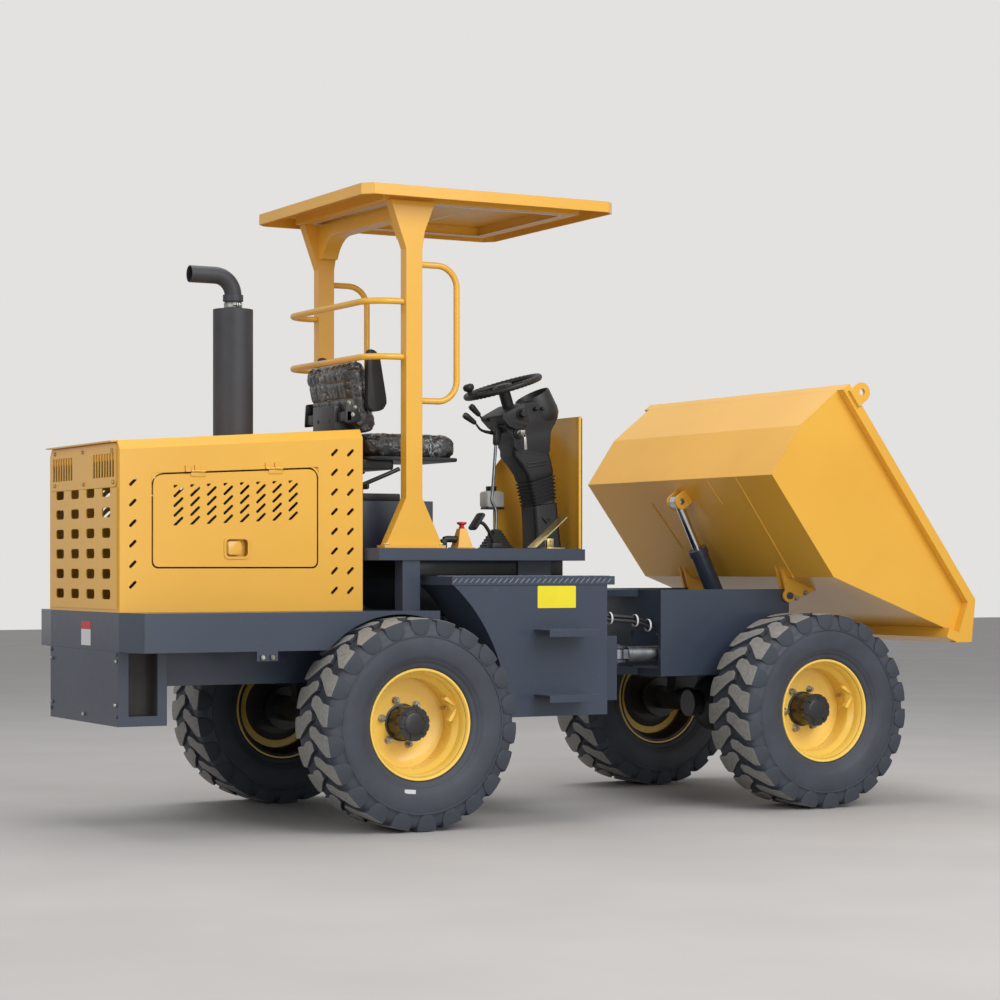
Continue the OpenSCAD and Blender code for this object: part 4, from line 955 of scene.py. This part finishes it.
# Stalks at the pod's side, gear lever in its boot.
stalks = bmesh.new()
for root, foot, grip, end in (((790, 30, 1628), (719, 30, 1640), (686, 30, 1671), (630, 30, 1707)),
                              ((790, 40, 1684), (733, 40, 1689), (712, 40, 1706), (667, 40, 1748))):
    foot, grip, end = Vector(foot), Vector(grip), Vector(end)
    add_tube(stalks, [Vector(root), foot, grip], [9, 6, 4], 10, 4)
    add_tube(stalks, [grip, grip.lerp(end, 0.15), grip.lerp(end, 0.8), end], [8, 11, 15, 12], 14, 4)
finished("column_stalks", stalks, black_abs, "rear_frame")
lever = bmesh.new()
add_tube(lever, [(770, 0, 1200), (772, 0, 1286), (751, 0, 1333), (755, 0, 1379), (772, 0, 1590)], 7, 14, 5)
finished("gear_lever_rod", lever, barrel_steel, "rear_frame")
grip = bmesh.new()
for z0, z1 in ((1576, 1658),):
    levels = []
    for z, w in ((z0, 9), (z0 + 6, 13), (z0 + 30, 15), (z1 - 16, 17), (z1 - 4, 15), (z1, 8)):
        levels.append([Vector((772 + (z - z0) * 0.13 + px, py, z)) for px, py in rounded_outline(w, w * 0.9, 6, 4)])
    add_loops(grip, levels)
finished("gear_lever_grip", grip, black_abs, "rear_frame")
boot = bmesh.new()
levels = []
for i in range(7):
    half = 60 - i * 6.2
    z = 1121.5 + i * 12.4
    for grow, rise in ((0, 0), (0.5, 6), (-5.5, 9), (-5.5, 12)):
        levels.append([Vector((770 + px, py, z + rise)) for px, py in rounded_outline(half + grow, half + grow, 12, 4)])
add_loops(boot, levels)
boot_piece = finished("gear_lever_boot", boot, black_rubber, "rear_frame", math.radians(30))

# Pedals, the accelerator's plate, the stop button on its folded foot, a hand grip beside it.
pads = bmesh.new()
brake = Matrix.Translation((622, -110, 1236)) @ Matrix.Rotation(math.radians(-55), 4, "Y")
count = len(pads.verts)
add_prism(pads, rounded([(-42, -32), (42, -32), (42, 32), (-42, 32)], 10, 4), 0, 12, "Z", 3)
for i in range(7):
    add_box(pads, (-36 + i * 11, -26, 11), (-31 + i * 11, 26, 15), bevel=1)
pads.verts.ensure_lookup_table()
bmesh.ops.transform(pads, matrix=brake, verts=pads.verts[count:])
add_tube(pads, [(626, -110, 1236), (650, -110, 1230), (676, -108, 1200), (700, -106, 1160), (708, -106, 1130)], 8, 10, 4)
add_box(pads, (682, -132, 1120.5), (736, -80, 1146), bevel=3)
pedals = finished("brake_pedal", pads, black_rubber, "rear_frame")
plate = bmesh.new()
tilt = Matrix.Translation((889, -250, 1190)) @ Matrix.Rotation(math.radians(-40), 4, "Y")
add_prism(plate, rounded([(-106, -36), (106, -36), (106, 36), (-106, 36)], 8, 4), 0, 5, "Z", 1)
bmesh.ops.transform(plate, matrix=tilt, verts=plate.verts)
add_box(plate, (872, -272, 1121), (962, -228, 1127), bevel=1.5)
add_box(plate, (880, -262, 1126), (912, -256, 1166), bevel=1.5)
add_box(plate, (880, -244, 1126), (912, -238, 1166), bevel=1.5)
add_tube(plate, [(898, -268, 1156), (898, -250, 1156), (898, -232, 1156)], 5, 10, 2)
finished("accelerator_plate", plate, brass_zinc, "rear_frame")
foot = bmesh.new()
levels = [[Vector((416 + sx * h, -350 + sy * h, z)) for sx, sy in ((-1, -1), (1, -1), (1, 1), (-1, 1))]
          for h, z in ((42, 1121.5), (42, 1125), (34, 1127), (22, 1176), (15, 1204))]
add_loops(foot, levels)
finished("stop_button_foot", foot, yellow_enamel, "rear_frame", smooth=None)
stop = bmesh.new()
add_lathe(stop, [(1, 1202), (13, 1202), (13, 1208), (10, 1211), (10, 1218), (18, 1222), (21, 1226), (20, 1231), (1, 1233)],
          (416, -350, 0), "Z", 32)
finished("stop_button", stop, stop_red, "rear_frame")
side_grip = bmesh.new()
add_tube(side_grip, [(330, -352, 1158), (350, -352, 1160), (392, -352, 1158), (402, -352, 1150)], [12, 14, 14, 10], 14, 4)
add_box(side_grip, (318, -364, 1121), (342, -340, 1160), bevel=4)
finished("park_brake_grip", side_grip, black_abs, "rear_frame")
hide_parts("floor_controls")

# Fluid reservoir on the guard's far side.
jar = bmesh.new()
add_loops(jar, [[Vector((856 + px, 190 + py * 0.84, z)) for px, py in rounded_outline(h, h, 12, 4)]
                for h, z in ((38, 1309), (43, 1312), (45, 1320), (45, 1370), (41, 1378), (28, 1382), (22, 1383))])
jar = finished("fluid_reservoir", jar, milky_plastic, "rear_frame")
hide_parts("reservoir")
cap = bmesh.new()
add_lathe(cap, [(1, 1383), (22, 1383), (24, 1385), (24, 1400), (21, 1403), (1, 1403)], (852, 190, 0), "Z", 24)
add_box(cap, (820, 155, 1300), (900, 231, 1309), bevel=1)
finished("reservoir_cap", cap, black_abs, "rear_frame")

# Front guard: one plate across, a narrow right flange, a left wing cut down at its rear, and the floor behind it.
guard = bmesh.new()
add_prism(guard, rounded([(-126, 1071), (236, 1071), (236, 1706), (-126, 1706)], 10, 3), 1130, 1136, "X", 1)
add_prism(guard, rounded([(1136, 1122), (1136, 1704), (1118, 1704), (1118, 1122)], 6, 3), -126, -120, "Y", 1)
wing = [(1136, 1122), (1136, 1706), (1118, 1706), (922, 1526), (898, 1496), (886, 1310), (886, 1121.5)]
add_prism(guard, rounded(wing, 8, 3), 230, 236, "Y", 1)
guard_piece = finished("front_guard_plates", guard, yellow_enamel, "rear_frame", smooth=None)
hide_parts("front_guard")
patch = bmesh.new()
add_box(patch, (929, 159, 1101), (1130, 236, 1121), bevel=1)
finished("floor_corner_plate", patch, grey_enamel, "rear_frame", smooth=None)

# Side doors: a panel with rows of oblique slots, rounded top corners, a sunk latch and two hinges.
SLOPE = math.tan(math.radians(3))
DOOR_X, DOOR_Z, DOOR_LONG, DOOR_HIGH = -975, 1044, 698, 358


def oblique_slot(x, z):
    """A slot that rises forward at 45 degrees."""
    line = []
    for way, first in ((1, -45), (-1, 135)):
        for k in range(7):
            t = math.radians(first + 30 * k)
            line.append((x + way * 15.5 + 5.3 * math.cos(t), z + way * 14.5 + 5.3 * math.sin(t)))
    return line


def side_door(side, name, body, hinge_steel):
    near, far = sorted((side * 414, side * 408))
    corners = [(DOOR_X, DOOR_Z), (DOOR_X + DOOR_LONG, DOOR_Z),
               (DOOR_X + DOOR_LONG, DOOR_Z + DOOR_HIGH + DOOR_LONG * SLOPE), (DOOR_X, DOOR_Z + DOOR_HIGH)]
    top_round = rounded(corners, 44, 7)
    low_round = rounded(corners, 26, 7)
    outline = low_round[:16] + top_round[16:]
    holes = []
    for i in range(8):
        for j in range(-1, 5):
            slot = oblique_slot(-870 + 69.9 * i, 1335 + 3.7 * i - 38 * j)
            slot = clipped(clipped(slot, 1364 + 3.7 * i, -1), 1206 + 3.7 * i, 1)
            if len(slot) > 3:
                holes.append(slot)
    latch = rounded([(-669, 1085), (-579, 1085), (-579, 1153), (-669, 1153)], 14, 4)
    panel = bmesh.new()
    add_sheet(panel, [tuple(p) for p in outline], holes + [[tuple(p) for p in latch]], near, far, "Y")
    panel = finished(name + "_panel", panel, yellow_enamel, body, smooth=None)
    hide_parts(name)
    tray = bmesh.new()
    rim_line = rounded([(-679, 1075), (-569, 1075), (-569, 1163), (-679, 1163)], 20, 5)
    add_sheet(tray, [tuple(p) for p in rim_line], [[tuple(p) for p in latch]],
              *sorted((side * 414, side * 417.5)), "Y")
    add_sheet(tray, [tuple(p) for p in rounded([(-671, 1083), (-577, 1083), (-577, 1155), (-671, 1155)], 15, 4)],
              [[tuple(p) for p in latch]], *sorted((side * 414, side * 390)), "Y")
    add_prism(tray, latch, *sorted((side * 390, side * 388)), "Y")
    add_prism(tray, rounded([(-660, 1092), (-606, 1092), (-600, 1119), (-606, 1146), (-660, 1146)], 8, 4),
              *sorted((side * 406, side * 411)), "Y", 1.5)
    add_box(tray, (-664, min(side * 389, side * 408), 1094), (-652, max(side * 389, side * 408), 1144), bevel=1)
    finished(name + "_latch", tray, yellow_enamel, body)
    hinges = bmesh.new()
    for x in (-789, -458):
        z = DOOR_Z + DOOR_HIGH + 8 + (x - DOOR_X) * SLOPE
        add_lathe(hinges, [(1, -30), (5.5, -30), (5.5, -9.5), (5, -9), (5, 9), (5.5, 9.5), (5.5, 30), (1, 30)],
                  (x, side * 418, z), "X", 14)
        add_box(hinges, (x - 30, min(side * 413, side * 417), z - 22), (x + 30, max(side * 413, side * 417), z), bevel=1)
    finished(name + "_hinges", hinges, hinge_steel, body)
    fill = bmesh.new()
    for end in (0, 1):
        x0 = DOOR_X - 7 + end * (DOOR_LONG + 14)
        z0 = DOOR_Z + DOOR_HIGH + 7 + end * DOOR_LONG * SLOPE
        way = 1 - 2 * end
        arc = [(x0 + way * (50 - 50 * math.cos(math.radians(a))), z0 - 50 + 50 * math.sin(math.radians(a)))
               for a in range(0, 91, 15)]
        add_prism(fill, [(x0, z0)] + arc, near, far, "Y")
    finished(name + "_corner_plates", fill, yellow_enamel, "rear_frame", smooth=None)


side_door(-1, "door_right", "door_right", yellow_enamel)
side_door(1, "door_left", "door_left", yellow_enamel)

# Rear: screws of the vent plate and the box, a blank label, and dark sheets inside the box that paint the shade seen
# through its side windows.
vent_spots = [(335, 1507), (-6, 1502), (-346, 1496), (335, 1377), (-16, 1373), (-358, 1373)]
copies("vent_plate_screws", SMALL_BOLT, [(place(-1117, y, z), OUT_REAR) for y, z in vent_spots], brass_zinc,
       "rear_frame")
box_spots = [(374, 667), (-390, 679), (374, 488), (-383, 509), (-16, 456)]
copies("rear_box_screws", SMALL_BOLT, [(place(-1118, y, z), OUT_REAR) for y, z in box_spots], zinc_steel,
       "rear_frame")
# Two dark sheets just inside the box's side walls: painted shade.
shade_sheets = bmesh.new()
for side in (-1, 1):
    add_box(shade_sheets, (-1108, min(side * 330, side * 334), 432), (-922, max(side * 330, side * 334), 708), bevel=0.5)
finished("rear_box_liner", shade_sheets, dial_black_and_painted_shade, "rear_frame", smooth=None)
deck_x = skin("rear_chassis", (-1400, -29, 780), (1, 0, 0)).x
for name, low, high, finish in (("rear_label_red", 796, 828, label_red), ("rear_label_white", 732, 796, label_white)):
    sticker = bmesh.new()
    add_prism(sticker, rounded([(-84, low), (26, low), (26, high), (-84, high)], 3, 2), deck_x - 0.9, deck_x + 0.3, "X")
    finished(name, sticker, finish, "rear_frame", smooth=None)

# Canopy: foot bolts, the pale sealant lines under the roof, the clamp on the exhaust's neck.
copies("canopy_foot_bolts", BOLT, [(place(x, y, 1133), UP) for x in (20, 266) for y in (-444, 444)], brass_zinc,
       "rear_frame")
sealant = bmesh.new()
for low, high in (((62, -370), (70, 370)), ((880, -370), (888, 370)), ((62, -378), (888, -370)), ((62, 370), (888, 378)),
                  ((462, -370), (469, 370))):
    add_box(sealant, (*low, 2539.6), (*high, 2541.4), bevel=0.4)
finished("roof_sealant_lines", sealant, label_white, "rear_frame", smooth=None)
clamp = bmesh.new()
add_lathe(clamp, [(34.5, -9), (38.5, -9), (38.5, -6), (37.5, -5), (37.5, 5), (38.5, 6), (38.5, 9), (34.5, 9)],
          (-467, 0, 2122), "Z", 40, closed=True)
add_box(clamp, (-474, -60, 2115), (-468, -36, 2129), bevel=1)
add_box(clamp, (-466, -60, 2115), (-460, -36, 2129), bevel=1)
add_tube(clamp, [(-484, -51, 2122), (-467, -51, 2122), (-452, -51, 2122)], 4, 10, 2)
finished("exhaust_clamp", clamp, zinc_steel, "rear_frame")

# Platform and tanks: beams under the floor, raised bars on the tread plates, a blank yellow label.
beams = bmesh.new()
for side in (-1, 1):
    add_box(beams, (172, min(side * 280, side * 318), 990), (925, max(side * 280, side * 318), 1102), bevel=3)
finished("floor_beams", beams, black_enamel, "rear_frame")
bar = bmesh.new()
add_prism(bar, [(13 * math.cos(t), 3.4 * math.sin(t)) for t in (math.pi / 4 * k for k in range(8))], -0.4, 2.2, "Z", 0.7, 1)
bar = pattern_piece(bar)
treads = []
for side in (-1, 1):
    for i in range(25):
        for j in range(5):
            turn = math.radians(45 if (i + j) % 2 else -45)
            treads.append((place(222 + 30 * i, side * (650 - 30 * j), 1006), (0, 0, turn)))
# The bars take the lighter grey: painted highlight.
copies("tread_plate_bars", bar, treads, tread_bars_painted_highlight, "rear_frame")
stroke = bmesh.new()
add_prism(stroke, [(17 * math.cos(t), 2.4 * math.sin(t)) for t in (math.pi / 4 * k for k in range(8))], -0.4, 1.6, "Z", 0.5, 1)
stroke = pattern_piece(stroke)
treads = [(place(218 + 26 * i, side * 664, 988), (-side * math.pi / 2, -math.pi / 4, 0))
          for side in (-1, 1) for i in range(29)]
# The lip bars take the same lighter grey: painted highlight.
copies("tread_lip_bars", stroke, treads, tread_bars_painted_highlight, "rear_frame")
shield = bmesh.new()
for side in (-1, 1):
    add_box(shield, (931, min(side * 388, side * 396), 471), (1149, max(side * 388, side * 396), 747), bevel=1)
finished("tank_end_shields", shield, grey_enamel, "rear_frame", smooth=None)
lug_spots = [(x, skin("rear_chassis", (x, -900, 691), (0, 1, 0)).y) for x in (-600, -559)]
copies("deck_bracket_bolts", SMALL_BOLT, [(place(x, y, 692), OUT_RIGHT) for x, y in lug_spots], zinc_steel,
       "rear_frame")
sticker = bmesh.new()
add_prism(sticker, rounded([(604, 875), (786, 875), (786, 966), (604, 966)], 4, 3), -661.2, -659.6, "Y")
finished("tank_label", sticker, label_yellow, "rear_frame", smooth=None)
sticker = bmesh.new()
add_prism(sticker, rounded([(-84, WHEEL_Z - 266), (-36, WHEEL_Z - 270), (-35, WHEEL_Z - 254), (-83, WHEEL_Z - 250)], 2, 2),
          -HALF_TRACK - 151, -HALF_TRACK - 144, "Y")
finished("tyre_label", sticker, label_white, "wheel_rr", smooth=None)

# Articulation: three hydraulic hoses held by ties, between the frames.
HOSE_ROUTE = [(1110, -300, 842), (1149, -332, 832), (1271, -345, 821), (1339, -342, 800), (1405, -334, 779),
              (1460, -322, 772)]
hoses = bmesh.new()
for dy, dz in ((0, 0), (-14, -17), (15, -15)):
    add_tube(hoses, [(x, y + dy, z + dz) for x, y, z in HOSE_ROUTE], 8.5, 12, 8)
hoses = finished("steering_hoses", hoses, hose_rubber, None)
ties = bmesh.new()
for x, y, z in HOSE_ROUTE[1:5]:
    add_lathe(ties, [(25, -4), (27, -4), (27, 4), (25, 4)], (x, y, z - 10), "X", 24, closed=True)
ties = finished("hose_ties", ties, label_white, None)
for piece in (hoses, ties):
    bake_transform(piece)

# Skip: weld seams of the bottom plates and the hinge bolts.
seams = bmesh.new()
for near, far in (((7, -488), (556, -465)), ((124, 304), (383, 284)), ((10, -257), (146, -262))):
    line = [skip_mm(near[0] + (far[0] - near[0]) * t, near[1] + (far[1] - near[1]) * t, -0.5)
            for t in (0, 0.25, 0.5, 0.75, 1)]
    add_tube(seams, line, 4, 8, 4)
finished("skip_weld_seams", seams, yellow_enamel, "skip")
copies("skip_hinge_bolts", BOLT, [(place(x, side * 418, z), OUT_RIGHT if side < 0 else OUT_LEFT)
                                  for side in (-1, 1) for x, z in ((2079, 904), (2128, 927))], zinc_steel, "skip")

# Stage


def stage():
    floor = bmesh.new()
    for x in (-30, 30):
        for y in (-30, 30):
            floor.verts.new((x, y, 0))
    floor.verts.ensure_lookup_table()
    v = floor.verts
    floor.faces.new((v[0], v[2], v[3], v[1]))
    mesh = bpy.data.meshes.new("studio_floor")
    floor.to_mesh(mesh)
    floor.free()
    made = bpy.data.objects.new("studio_floor", mesh)
    bpy.context.scene.collection.objects.link(made)
    pale, tree, surface = new_material("pale_floor", **{"Roughness": 0.75})
    spot = add(tree, "ShaderNodeTexCoord").outputs["Object"]
    mottle = add(tree, "ShaderNodeTexNoise", {"Vector": spot, "Scale": 1.2, "Detail": 4.0})
    tree.links.new(ramp(tree, mottle.outputs["Fac"], [(0.3, "#AEABA9"), (0.7, "#B5B2B0")]),
                   surface.inputs["Base Color"])
    made.data.materials.append(pale)


stage()


def soft_lamp(name, spot, aim, size, power):
    light = bpy.data.lights.new(name, "AREA")
    light.shape = "SQUARE"
    light.size = size
    light.energy = power
    made = bpy.data.objects.new(name, light)
    made.location = spot
    made.rotation_euler = (Vector(aim) - Vector(spot)).to_track_quat("-Z", "Y").to_euler()
    bpy.context.scene.collection.objects.link(made)


soft_lamp("key_softbox", (1.2, -8.0, 6.5), (0.2, 0, 0.9), 6, 500)
soft_lamp("low_softbox", (-1.0, -9.0, 2.0), (0.2, 0, 0.7), 5, 130)
soft_lamp("rear_softbox", (-8.0, -2.5, 4.5), (0, 0, 1.0), 5, 150)
soft_lamp("top_softbox", (0.0, 1.5, 7.5), (0, 0, 1.0), 6, 270)

world = bpy.data.worlds.new("pale_studio")
bpy.context.scene.world = world
world.use_nodes = True
sky = world.node_tree
sky.nodes.clear()
seen_by_camera = add(sky, "ShaderNodeLightPath")
lit = add(sky, "ShaderNodeBackground", {"Color": linear("#F4F5F7"), "Strength": 0.5})
backdrop = add(sky, "ShaderNodeBackground", {"Color": linear("#E3E2E0"), "Strength": 1.0})
mirrored = add(sky, "ShaderNodeMath", {0: seen_by_camera.outputs["Is Glossy Ray"],
                                       1: seen_by_camera.outputs["Is Transmission Ray"]}, operation="ADD")
halved = add(sky, "ShaderNodeMath", {0: mirrored.outputs[0], 1: 0.5}, operation="MULTIPLY")
direct = add(sky, "ShaderNodeMath", {0: halved.outputs[0], 1: seen_by_camera.outputs["Is Camera Ray"]},
             operation="MAXIMUM")
picked = add(sky, "ShaderNodeMixShader")
sky.links.new(direct.outputs[0], picked.inputs[0])
sky.links.new(lit.outputs[0], picked.inputs[1])
sky.links.new(backdrop.outputs[0], picked.inputs[2])
add(sky, "ShaderNodeOutputWorld", {"Surface": picked.outputs[0]})

bpy.context.scene.view_settings.view_transform = "Standard"
